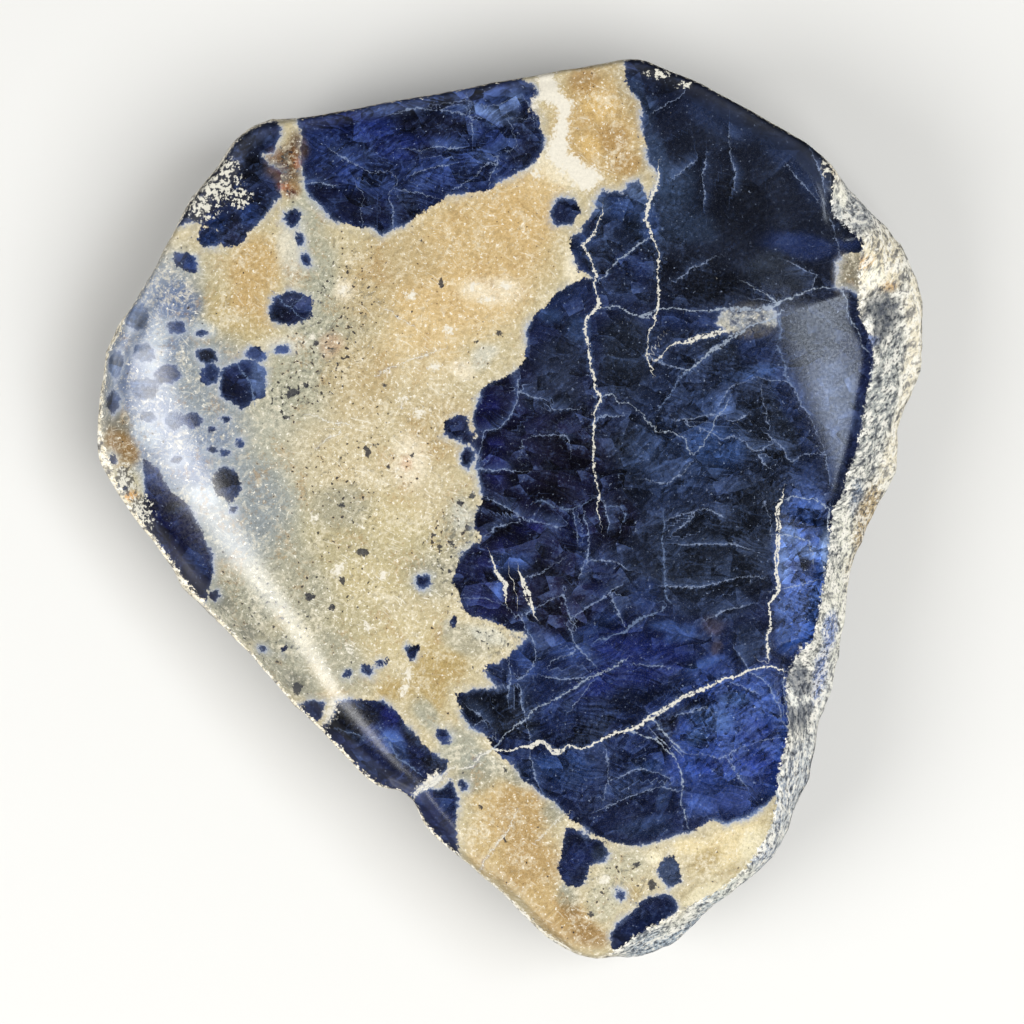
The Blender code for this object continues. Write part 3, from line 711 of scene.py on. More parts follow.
SIDE_VEINS = [
    [(65.7, 72.2, 0.16), (66.7, 73.5, 0.16), (67.8, 74.8, 0.13)],
    [
        (62.9, 73.1, 0.14), (64.4, 73.4, 0.15), (65.7, 73.8, 0.15), (66.5, 74.8, 0.13),
        (67.3, 75.9, 0.11), (68, 77.1, 0.14), (68.3, 78.4, 0.14), (68.1, 80.4, 0.1), (68.5, 82, 0.1),
    ],
    [
        (49.2, 74.7, 0.14), (50.6, 73.5, 0.15), (52.2, 72, 0.15), (53.5, 71, 0.15), (55, 70.4, 0.14),
        (56.8, 69.2, 0.14), (58.3, 68.3, 0.14), (59.8, 67.4, 0.12), (61.4, 66.6, 0.1),
        (62.4, 66.1, 0.08),
    ],
    [
        (60.3, 39.6, 0.14), (61.6, 39.2, 0.1), (61.9, 40.1, 0.09), (63.1, 40.6, 0.08),
        (64.1, 41.4, 0.08), (64.8, 42.3, 0.1), (65.9, 43.2, 0.08), (67, 43, 0.06), (67.9, 43.5, 0.08),
        (68.7, 43.9, 0.12), (68.9, 44.8, 0.08), (69.3, 45.5, 0.06), (70.4, 44.6, 0.06),
        (70.5, 43.9, 0.08), (71.2, 43, 0.1), (72, 41.4, 0.1), (72.7, 40.3, 0.08),
    ],
    [(60.3, 27.7, 0.1), (61.3, 26.5, 0.12), (63, 25, 0.14), (64.6, 24, 0.12)],
    [(60.3, 30.8, 0.1), (61.8, 30.6, 0.12), (63.3, 31.4, 0.16), (64.9, 31.6, 0.26), (66.1, 30.6, 0.22)],
    [
        (66.1, 30.7, 0.12), (68.6, 30.9, 0.1), (70.6, 31.2, 0.14), (72.3, 30.7, 0.2),
        (75.1, 30.9, 0.24), (77.6, 30.6, 0.24), (79.2, 29.8, 0.14), (80.7, 28.9, 0.14),
        (82, 28.8, 0.11), (83.8, 28.8, 0.1), (84.5, 29.6, 0.1), (84.8, 31.1, 0.1), (85.6, 33, 0.08),
        (86.8, 35, 0.08),
    ],
    [(74.8, 28.3, 0.06), (76.4, 29.3, 0.08), (77.6, 30.3, 0.12)],
    [(77.6, 31.6, 0.2), (73.8, 33.3, 0.24), (71.5, 34.7, 0.24), (70.2, 35.8, 0.18), (68.7, 37.2, 0.14)],
    [(48.8, 73.6, 0.06), (47.3, 72.9, 0.05), (46, 71, 0.05)],
    [(77.9, 53.4, 0.12), (79.6, 53.7, 0.12), (80.9, 54.2, 0.12), (81.2, 56, 0.08)],
    [(77.6, 58.9, 0.08), (79.2, 58.7, 0.08), (81.5, 58.1, 0.05)],
    [
        (78.3, 50, 0.12), (79.3, 49.7, 0.12), (81.3, 49.8, 0.1), (82.9, 50.7, 0.12), (82.9, 53.7, 0.14),
        (83.1, 55.8, 0.1),
    ],
]
FAINT_VEINS = [
    [
        (66.4, 52, 0.14), (66.4, 54, 0.14), (66.3, 56, 0.12), (66.5, 58, 0.12), (66.5, 59.6, 0.12),
        (66.9, 60.2, 0.1),
    ],
    [(58.9, 50.1, 0.12), (58, 50.7, 0.14), (56.6, 51, 0.14), (54.5, 50.2, 0.12), (53.7, 50.3, 0.08)],
    [(60.9, 50.8, 0.08), (62.1, 50.7, 0.1), (62.5, 51.6, 0.1), (62.3, 52.1, 0.06)],
    [(68.7, 37.2, 0.12), (66.9, 39.3, 0.11), (65.9, 40.8, 0.07)],
    [(77.8, 31.6, 0.2), (78.2, 33.2, 0.16), (77.7, 34.6, 0.14), (78.4, 36.6, 0.14), (79, 38.1, 0.1)],
    [(60.3, 63.8, 0.16), (62.3, 63.1, 0.2), (64.1, 61.8, 0.22), (66.4, 60.8, 0.16)],
    [(71.4, 82, 0.16), (72.7, 82.6, 0.18), (75.1, 81.5, 0.14), (76.4, 80.5, 0.1)],
    [(34, 72.9, 0.06), (37.2, 73.7, 0.08), (39.8, 74, 0.07)],
    [(38, 72.6, 0.1), (39.8, 75.8, 0.12), (41.8, 77.2, 0.1)],
    [(27.5, 29.4, 0.09), (28.9, 30.9, 0.1), (30, 30, 0.09)],
    [(28.9, 30.9, 0.09), (30.6, 32.1, 0.08)],
    [(23.6, 36, 0.06), (24.9, 38, 0.12), (25.5, 40.4, 0.1)],
]
HAIR = 0.10
HAIR_LINES = [
    # middle
    [(48.5, 49.9), (50.8, 50.9), (52.6, 51.9), (55.6, 52.7)],
    [(48.5, 53.6), (49.5, 52.7), (51.5, 52.2), (53, 52.1)],
    [(52, 45.3), (52.3, 44), (53.3, 43.5), (56.8, 43.6), (56.9, 44.9)],
    [(58.8, 56.1), (60.8, 56.2), (62.4, 56.7)],
    [(58.3, 51.3), (58.8, 52.6), (58.8, 54.7), (58.4, 56.4), (58.1, 57.5)],
    [(59.8, 49.9), (60.6, 50.6), (60.8, 52.2)],
    [(57.3, 51.6), (57.6, 53.6)],
    [(48, 47), (50.4, 46.8), (52.8, 47.2)],
    [(47.9, 45.4), (48.4, 43.2), (50.2, 42.6), (51.8, 40.6), (51.9, 38.2)],
    [(64.4, 47.9), (66.9, 48.3), (68.4, 47.3), (69.1, 46.6)],
    [(65.2, 35.8), (67, 36.5), (68.5, 37.1)],
    [(67, 51.9), (69.5, 51.1), (70.6, 50.9), (71.9, 51.4)],
    [(52.5, 57.7), (54.6, 57), (55.6, 56.4)],
    [(59.3, 42.3), (60.3, 41.6), (62.1, 41.5)],
    [(55.3, 41), (57.8, 40.8)],
    [(51.8, 39.1), (54.2, 39.8)],
    # right of the middle
    [(68.6, 42.3), (71.1, 43.3), (74.4, 44.3), (75.6, 45.6), (76.9, 46.9)],
    [(75.6, 45.4), (76.8, 44.6)],
    [(75.9, 37.9), (78.8, 38.1), (79.6, 39.3), (80.4, 40.9), (81.7, 43.3), (82.6, 44.9), (82.9, 47.6)],
    [(79.1, 46.1), (80.7, 45.4), (82.4, 45.4)],
    [(72, 40), (73.6, 38.5), (75.8, 37.8)],
    [(76.9, 43.8), (77.9, 44.6), (78.8, 45.9)],
    [(73.3, 41.9), (74.3, 41.7)],
    [(67.8, 53), (69.3, 51.6)],
    [(68, 54.4), (71.3, 54.3), (73.6, 54.5), (75.1, 55)],
    [(76.3, 50.2), (77.1, 51.7), (77.1, 53.2)],
    [(67.3, 41.9), (72, 41.6)],
    [(76.1, 39), (76.6, 41), (76.9, 42.3)],
    # below the middle
    [(56.6, 59.5), (57, 61.5), (57.6, 62.6)],
    [(56.6, 62.6), (57.3, 64), (58.1, 65.1), (59.2, 66.4)],
    [(52.1, 61.6), (52.3, 62.6), (53.1, 63.8), (53.7, 65.6), (53.3, 66.6), (51.8, 67.9)],
    [(52.1, 69.1), (52.5, 71.9), (52.9, 74.6)],
    [(50.8, 66.3), (51, 67.9), (50.8, 69.8)],
    [(57.4, 61.6), (59.8, 60), (61.3, 59), (61.9, 58.7)],
    [(61.1, 59.2), (61.6, 60.6), (62.4, 62.6)],
    [(55.3, 66.3), (57.6, 65.3)],
    [(54.3, 67.6), (56.6, 67.9), (58.3, 67.9)],
    [(63.9, 66.4), (66.6, 66.8)],
    [(57.4, 70.6), (58.8, 68.8)],
    [(60.6, 75.1), (60.8, 77.6), (60.6, 79.2)],
    [(53, 75.7), (53.8, 78.2)],
    [(60.8, 78.1), (64.1, 76.7), (66.4, 77.6)],
    [(60.3, 80.9), (62.6, 79.7), (65.9, 78.7), (67.1, 78.9)],
    [(46.3, 60), (48, 59.9), (49.5, 60), (50.8, 60.8), (51.5, 61.7), (53.3, 60.8), (56.6, 59.5)],
    [(47, 71), (48.4, 72), (47.6, 72.4)],
    # lower right
    [(66.7, 58.8), (69, 58.7), (71.5, 58.3), (74, 57.7), (76.3, 57.7)],
    [(70.6, 62), (72.3, 61.1), (74.6, 60.5)],
    [(73.8, 65.3), (74.6, 66.4)],
    [(73, 68.3), (75.3, 69.3)],
    [(75.1, 67.3), (76.9, 68.6), (77.8, 70.4), (78.6, 72.8)],
    [(78.3, 67.3), (78.4, 69.3), (79.1, 72.1)],
    [(68, 71.4), (70.6, 70.8), (71.8, 71.8)],
    [(68, 75.1), (70.1, 75.3), (71.5, 75.7), (72.5, 75.6), (74.3, 78.2)],
    [(72.5, 75.6), (74.8, 74.6), (76.9, 73.9)],
    # upper left
    [(33.3, 15.1), (35.6, 16.5), (37.3, 17.3), (39.1, 17.1)],
    [(39.1, 17.1), (39.6, 18.1), (38.8, 19.4), (39.1, 20.8), (39.4, 22.6)],
    [(39, 11.5), (41.8, 10.9), (44.1, 10.9), (46.6, 11.5), (48.1, 11.8)],
    [(43.3, 10.3), (46.6, 10.2), (49.7, 10.4), (51.4, 10)],
    [(46.7, 9.5), (47.1, 11.5), (47.2, 13.3)],
    [(50.7, 12), (51.2, 12.5), (51.1, 13.6), (51.7, 14.6), (49.7, 15.8), (49.2, 17.3), (48.9, 18.6)],
    [(45.6, 18.9), (47.7, 17.3), (50.6, 15.3)],
    [(40.6, 14.8), (45.6, 14.8)],
    [(35.6, 18.4), (36.3, 19.9), (36.1, 22.6)],
    [(39.6, 18.9), (43.3, 19.9)],
    [(41.4, 17.3), (44.8, 16.5)],
    [(31, 18.4), (33.6, 18.4)],
    [(52.5, 10), (53, 11), (53.5, 12), (51.2, 11.8)],
    # upper right
    [(65.5, 11.1), (67.5, 10.1), (68.3, 9.3)],
    [(72.9, 13.3), (73, 15.6), (73.6, 17.3), (73.3, 18.6)],
    [(78.6, 16.3), (79.6, 17.6), (80.9, 19.1), (82.4, 20.8)],
    [(81.1, 15.3), (82.1, 17.3), (82.6, 20.6)],
    [(83.1, 21.9), (83.4, 23.2), (84, 25.9)],
    [(67.6, 17.4), (69.3, 16.3)],
    [(70.4, 16), (70.4, 20.1)],
    [(81.2, 28.4), (81.6, 27.4), (79.9, 26.6), (78.4, 26.1)],
    [(68, 27.9), (70.6, 26.2), (71.6, 25.7)],
]
NARROWING = 0.25
CLEAR_OF_VEIN = 0.7


def nearest_vein(xy, veins):
    """The nearest vein's signed distance and half its width, below zero where no vein is near."""
    best = np.full(len(xy), np.inf)
    half_width = np.zeros(len(xy))
    for vein in veins:
        signed, carried = nearest_on_line(xy, vein)
        nearer = abs(signed) < abs(best)
        best = np.where(nearer, signed, best)
        half_width = np.where(nearer, carried[:, 0], half_width)
    return best, half_width - NARROWING * np.maximum(abs(best) - CLEAR_OF_VEIN, 0)


hairs = [[(*point, HAIR) for point in line] for line in HAIR_LINES]
vein_sets = {"white": WHITE_VEINS, "side": SIDE_VEINS, "faint": FAINT_VEINS, "hair": hairs}
vein_layers = {}
for name, veins in vein_sets.items():
    vein_layers[f"{name}_vein_side"], vein_layers[f"{name}_vein_width"] = nearest_vein(torn_spot, veins)
print(sum(map(len, vein_sets.values())), "veins in", len(vein_sets), "sets")

# %% [markdown]
# Sodalite is never one blue: it runs from nearly black, where the crystal is thick and clear, through ink
# and royal blue to a pale haze where it is cracked inside. The tones are laid on as soft ovals, largest
# first, the way one would paint a base coat and then the accents. They are kept with the points and
# blended across the mesh. Tones are written as they look on a screen, 0 to 255, and turned into light
# values at the end.

# %% Laying on tones
SOFT_FROM = 1.30
SOFT_TO = 0.55


def lay(here, base, coats):
    """What coats of soft ovals leave: an oval moves the base toward its coat's tone by the coat's strength.

    A coat is a tone or an amount, a strength, and ovals of x, y, across, down and degrees turned."""
    laid = np.zeros((len(here), 1)) + base
    for tone, strength, ovals in coats:
        for oval in ovals:
            weight = strength * soft_step(oval_reach(here, *oval), SOFT_FROM, SOFT_TO)
            laid += weight[:, None] * (np.array(tone) - laid)
    return laid


LAMPLIGHT = 1.5


def light_values(tones):
    """Light values of tones written 0 to 255: the screen's own curve, less what the bright lamps add."""
    share = np.clip(tones / 255, 0, 1)
    return np.where(share <= 0.04045, share / 12.92, ((share + 0.055) / 1.055) ** 2.4) / LAMPLIGHT


print("a tone of 128 has a light value of", light_values(np.array(128)).round(3))


# %% [markdown]
# The blue coats. The upper right is coal dark, the middle is ink, the lower right royal, and a bright
# strip of another crystal runs down beside the rim. Small crystals are slate, some half light and half
# dark.

# %% Blue coats
BLUE_COATS = [
    ((26, 31, 48), 1, [(76, 20, 18, 14)]),
    ((33, 44, 72), 0.9, [(72, 44, 14, 14)]),
    ((24, 24, 56), 0.9, [(54, 50, 9, 15), (50, 42, 4, 6)]),
    ((24, 38, 82), 0.9, [(61, 71, 15, 11), (54, 74, 8, 8)]),
    ((42, 70, 148), 0.95, [(73.5, 74, 8, 8)]),
    ((27, 33, 48), 0.95, [(70.5, 56, 7.5, 5.5), (76, 51, 3, 4)]),
    ((66, 98, 178), 1, [(80.4, 57.5, 2.9, 9.5)]),
    ((32, 46, 96), 1, [(41, 14, 14, 10)]),
    ((34, 42, 76), 1, [(22, 19, 8, 8)]),
    ((27, 37, 82), 1, [(38, 76, 10, 8), (43, 84, 5, 5)]),
    ((20, 28, 72), 1, [(17, 54, 6, 9)]),
    ((40, 52, 92), 1, [(24, 40, 9, 9)]),
    # upper right
    ((52, 68, 96), 0.6, [(66, 21, 4, 4, 20), (70, 23, 2.5, 1.5), (68, 18.5, 1.5, 2.5, 30)]),
    ((70, 88, 122), 0.7, [(64, 10, 1.2, 3, -20), (65.6, 15, 1.2, 2.5, -20), (66.4, 18, 1.5, 2)]),
    ((42, 56, 92), 0.7, [(78.5, 15.2, 3, 1.6, 35), (81.2, 18.2, 1.6, 3, -25), (72, 12, 4, 1.5, 25)]),
    ((40, 58, 112), 0.8, [(80, 24.5, 4.5, 1.3, 10), (69, 32, 5, 1), (85, 24, 1.4, 1.2)]),
    ((15, 18, 30), 0.8, [(70, 28, 5, 2.2, 10), (74, 21, 3, 4), (84.6, 23.2, 1.4, 1, 40)]),
    ((60, 66, 78), 0.5, [(77.5, 27.5, 3.5, 1.6, 15), (77, 26, 2, 1)]),
    # the blobs below the seam
    ((58, 82, 138), 0.8, [(62, 20.8, 2.2, 1.6), (58.6, 24.5, 1.1, 1.6, 20), (65, 22.5, 1, 2)]),
    ((122, 142, 186), 0.7, [(59.8, 20.6, 1.2, 1.2), (63.6, 19.2, 1.4, 0.9)]),
    ((26, 34, 56), 0.9, [(61.6, 24.6, 2.2, 1.9), (59, 26, 0.8, 1.2)]),
    ((30, 45, 92), 0.9, [(63.4, 26.8, 2.2, 1.9, 20)]),
    ((64, 82, 128), 0.6, [(62.2, 29.2, 2.8, 1), (61.2, 22.4, 1.4, 0.6)]),
    # the crystal's left shoulder
    ((42, 58, 106), 0.9, [(56.5, 30, 2.4, 1.4, -30), (58.2, 27.4, 0.8, 0.6)]),
    ((72, 98, 152), 0.8, [(57.8, 33, 1.4, 1.6), (55.2, 31.6, 1.2, 0.8)]),
    ((44, 52, 74), 0.8, [(56, 36, 3, 2.4), (55.4, 39.2, 3.6, 2.2)]),
    ((40, 48, 70), 0.7, [(62.5, 37, 2.8, 4), (62.2, 33.6, 2.2, 2)]),
    # centre right
    ((30, 36, 50), 0.8, [
        (62.4, 35, 2.6, 3.6), (72, 34.8, 2.4, 1.2, 10), (76.4, 43, 3.5, 4), (63.5, 45, 3, 3),
    ]),
    ((34, 50, 96), 0.8, [(76, 35.6, 2.6, 1.8, 30), (79, 39.5, 1.4, 3.5, -22), (81, 44, 1.2, 3, -15)]),
    ((50, 68, 108), 0.7, [(67.5, 45.5, 5, 4.2), (70.5, 40.5, 2.2, 1.4)]),
    ((54, 84, 142), 0.8, [(71.6, 44.8, 3, 2.4, 20), (75, 37.4, 3, 0.8, -15)]),
    ((84, 108, 162), 0.6, [(72.4, 40.4, 1.2, 1.4, 30), (70.2, 46.8, 2, 0.8, 20)]),
    ((34, 42, 64), 0.6, [(62.5, 56, 3, 5), (63, 50, 2.5, 3)]),
    # the window facet and the edge beside the rim. The facet's grey and pale grey-blue coats are partly
    # its own tone and partly painted reflection: the sheen that the facet mirrors
    ((72, 78, 92), 0.7, [(81.5, 33, 3, 2.5, 20)]),
    ((88, 100, 134), 0.7, [(83.3, 39, 2.6, 5, -14), (84, 44, 1.3, 3.4, -10)]),
    ((112, 126, 160), 0.5, [(83.9, 38.5, 1.8, 3.4, -14)]),
    ((32, 40, 78), 0.9, [(86.5, 38, 0.55, 4, 12), (85, 45.5, 0.6, 2.5, 10)]),
    # ink and its pale splinters
    ((19, 14, 36), 0.8, [
        (57, 45, 3.6, 3), (50.2, 51.6, 2.8, 2.4), (61.5, 52, 2.4, 2.5), (55, 49, 2, 2),
    ]),
    ((25, 28, 92), 0.8, [(49.4, 46, 1.4, 2.4), (48.6, 41, 1.4, 2), (52.6, 52.6, 1.6, 0.9)]),
    ((30, 24, 52), 0.8, [(56.4, 60.6, 3.2, 3), (51, 59.4, 2.2, 2.4)]),
    ((78, 106, 178), 0.85, [(50.8, 56.4, 1.7, 1.2), (49.9, 58.6, 0.7, 1.8, 10), (52.3, 56, 0.8, 0.8)]),
    ((34, 38, 96), 0.8, [(47.8, 57, 2, 2.2), (48.6, 60.6, 2, 1.2), (50.6, 54.2, 1.4, 0.8)]),
    ((14, 20, 60), 0.8, [(60, 57.6, 2.6, 2.2), (57.4, 53, 1.6, 1.8)]),
    ((46, 70, 132), 0.6, [(59.6, 62.6, 2.6, 0.8, -30), (64.4, 59.4, 1.6, 1.6), (58.2, 55, 0.8, 2)]),
    ((56, 80, 146), 0.75, [(53, 66.5, 1.4, 1.4), (51.6, 64.6, 1.1, 1.4), (56.8, 65, 2.2, 1.2, 20)]),
    ((52, 66, 110), 0.8, [(49.5, 67, 1.6, 1.1), (54.2, 64, 1.4, 1)]),
    ((22, 26, 38), 0.9, [(50, 71, 4, 2.2, 10), (51.5, 72.5, 2.2, 1.2), (47, 70.4, 1.2, 1)]),
    # ultramarine
    ((24, 38, 108), 0.8, [(65, 66, 4.4, 2.6, -20), (60, 68.4, 3.4, 1.6, -25), (62, 64, 3, 1.6, -25)]),
    ((76, 110, 184), 0.6, [
        (68, 63.4, 1.8, 0.8, -20), (70.4, 66.4, 2.2, 0.5, -20), (66.4, 62.6, 1.6, 0.6),
    ]),
    ((88, 74, 88), 0.7, [(71.4, 62.4, 1.3, 1.1), (71.6, 64.6, 0.5, 0.9)]),
    ((48, 60, 92), 0.7, [(72.8, 60.6, 2.6, 1.6), (69, 60.8, 2, 1)]),
    ((34, 44, 68), 0.8, [(75, 64.2, 1.8, 2.2)]),
    ((34, 62, 116), 0.7, [(57, 77, 2.6, 1.8), (54.6, 76.4, 1.4, 1), (64.8, 76.6, 1.6, 0.8)]),
    ((22, 30, 62), 0.8, [(59, 73, 4, 1.2), (63.4, 80.4, 3.2, 1.3), (58, 80.8, 2, 1.6)]),
    ((22, 36, 66), 0.7, [(64.5, 83, 3.2, 0.8), (52.6, 77.2, 1.2, 1.4)]),
    ((64, 86, 134), 0.6, [(65, 82, 2.6, 0.5, -10), (62.4, 78.4, 2, 0.6, -20), (66.2, 79.6, 0.6, 1.6)]),
    # royal
    ((92, 130, 192), 0.55, [(71.2, 71.8, 2.4, 1.3, 10), (69.6, 73.6, 1.2, 0.8), (73.4, 70, 1.6, 0.8)]),
    ((72, 104, 190), 0.6, [(76, 69.8, 1.4, 1.6), (70, 80.6, 1.8, 1), (77.6, 71, 0.7, 2.6, -15)]),
    ((24, 46, 122), 0.8, [(72.8, 76.2, 3.2, 1.1, -10), (75.6, 73.2, 1.8, 1.3), (76.2, 77, 2, 1.6)]),
    ((60, 84, 166), 0.7, [(67.4, 76.5, 0.8, 1.6, 10), (73.6, 79.8, 2.6, 1, -15)]),
    ((16, 17, 38), 0.9, [(66.7, 72.4, 1.2, 1.2), (66.3, 74.2, 0.5, 1.3), (68.8, 70.8, 2.2, 0.4, -20)]),
    # the strip
    ((54, 80, 140), 0.7, [(80.6, 51.3, 1.8, 0.9), (81.3, 50.2, 1, 0.6)]),
    ((122, 150, 208), 0.7, [(79, 53.4, 1, 1.2), (80.6, 55.2, 1.6, 0.8), (78.4, 56.4, 0.7, 2)]),
    ((34, 42, 84), 0.8, [(79.9, 56.5, 1.4, 0.6)]),
    ((50, 84, 160), 0.85, [(80.2, 61, 1.9, 2.4), (79.2, 64.2, 2, 1.4)]),
    ((90, 122, 196), 0.6, [(78, 61.2, 0.9, 1.2), (81.6, 60.4, 0.8, 2.4), (78.2, 63.4, 0.8, 1)]),
    ((196, 204, 214), 0.5, [(82.6, 62, 0.7, 3, 8), (82.6, 55, 0.6, 3)]),
    # upper left
    ((25, 28, 52), 0.85, [(43, 12.4, 4.6, 1.5, 5), (52.6, 12.6, 1.1, 1.3), (52.2, 15.2, 2, 1.2, -30)]),
    ((26, 40, 106), 0.8, [(36, 12.6, 3.6, 1.6, 5), (40, 14.6, 3, 1.6)]),
    ((74, 96, 156), 0.7, [
        (38.5, 11, 2.6, 0.7, -10), (43.6, 9.9, 2.6, 0.7, -10), (50, 9.4, 2.6, 0.8, -10),
    ]),
    ((128, 148, 196), 0.75, [(50.2, 11.6, 2, 1.2), (48, 10.8, 2.4, 0.6), (51.6, 9.8, 0.8, 1.2)]),
    ((60, 78, 128), 0.7, [(52.2, 8.6, 1.6, 1), (49.4, 15.4, 2.6, 1, -30)]),
    ((44, 62, 122), 0.7, [(44.4, 17, 4, 1.8, -20), (46.4, 14.6, 3.6, 1.2, -20), (34, 15.4, 2.4, 2.2)]),
    ((20, 24, 54), 0.85, [
        (36, 21, 3.2, 1.8, 10), (40.6, 21, 1.4, 1.8), (32.6, 18.6, 1.6, 1.6), (42.8, 15, 2, 0.8),
    ]),
    ((58, 76, 128), 0.5, [(38, 18.4, 1.8, 1.2, 20), (33.2, 20.8, 0.8, 1)]),
    ((42, 44, 74), 0.9, [(23.6, 23.2, 1.8, 1.6, -30)]),
    ((44, 70, 132), 0.8, [
        (21.6, 22.2, 1.2, 1.2), (20.6, 24, 1.2, 0.8), (24.8, 21.4, 0.9, 1.4, 20),
        (18.8, 26, 1.4, 1, 30),
    ]),
    ((24, 28, 44), 0.8, [(25.4, 16.6, 1.6, 1.6), (24.8, 14.4, 1.4, 1)]),
    ((58, 74, 112), 0.5, [(26, 13.6, 1.4, 0.9), (23.2, 15.6, 1, 1)]),
    # small crystals
    ((76, 84, 126), 0.9, [(29.1, 30.1, 2.2, 0.8)]),
    ((28, 30, 56), 0.9, [(28.9, 32, 2, 0.9)]),
    ((34, 38, 56), 0.9, [(20.6, 35.6, 1.4, 1.1)]),
    ((34, 40, 80), 0.8, [(23.4, 38.4, 1.5, 2.2, 20)]),
    ((124, 144, 196), 0.9, [(26, 37.9, 1, 1.9, 10)]),
    ((76, 90, 138), 0.85, [(25.4, 35.4, 1.6, 0.9), (28.2, 35, 1.1, 0.9)]),
    ((38, 42, 62), 0.8, [(22.7, 48.4, 1.8, 2.2)]),
    ((112, 132, 170), 0.9, [(12.6, 36.5, 3.6, 4, 10), (14, 31.8, 2, 3), (15, 41.6, 3.4, 2.4)]),
    ((60, 76, 124), 0.85, [(16.8, 37.6, 1.6, 1.2), (17.6, 32.6, 1.2, 1)]),
    ((58, 74, 122), 0.8, [(16.6, 37.5, 1.4, 1), (19.3, 42.1, 1.4, 1), (21, 37.6, 0.9, 1.2)]),
    ((52, 66, 100), 0.8, [(17.8, 46, 1.6, 1.6)]),
    ((12, 14, 26), 0.95, [(17.4, 50.8, 1, 0.7, 20), (34, 71.8, 1.6, 1.4), (35.2, 73.2, 1.6, 0.8, 30)]),
    ((14, 20, 70), 0.9, [(17.6, 53.6, 2.4, 2.4, 30), (15.6, 51.6, 1, 0.9)]),
    ((66, 86, 140), 0.6, [
        (19.8, 56, 1, 1.8, -20), (15.4, 47.6, 0.9, 1.6, -30), (16.2, 55, 0.8, 1.4, -30),
    ]),
    ((22, 24, 40), 0.9, [
        (36.4, 71.2, 1.6, 1.2, 30), (41.6, 73.6, 1.8, 1, 50), (43.8, 76.6, 1.6, 1, 20),
    ]),
    ((26, 30, 96), 0.8, [(39, 71.4, 0.9, 1.4)]),
    ((76, 104, 172), 0.85, [(39.4, 74.4, 1.2, 1.6, -40), (40.4, 76, 0.8, 0.9)]),
    ((52, 72, 120), 0.6, [(36.6, 76.4, 2.2, 0.8, 40), (44.6, 80.4, 0.8, 1.2), (30.8, 71.8, 1.2, 1.2)]),
    ((22, 36, 92), 0.8, [(42.8, 82.4, 1.2, 2, -20), (58.2, 85.4, 1.6, 1.4), (56.8, 87, 0.8, 1)]),
    ((56, 66, 88), 0.8, [(67, 87, 1.4, 2), (60, 85.4, 0.9, 0.9)]),
    ((24, 34, 70), 0.9, [(64, 92.4, 3, 1.8, -30)]),
]

BLUE_DEPTH = (0.76, 0.80, 0.82)
blue_tones = lay(torn_spot, (30, 38, 74), BLUE_COATS) * BLUE_DEPTH
print(len(BLUE_COATS), "coats of blue, whose mean is", blue_tones.mean(axis=0).round())

# %% [markdown]
# The cream rock is warmest beside the blue and grey-green where tiny dark grains crowd it. Its coats are
# fewer and broader, because the grain comes from the material.

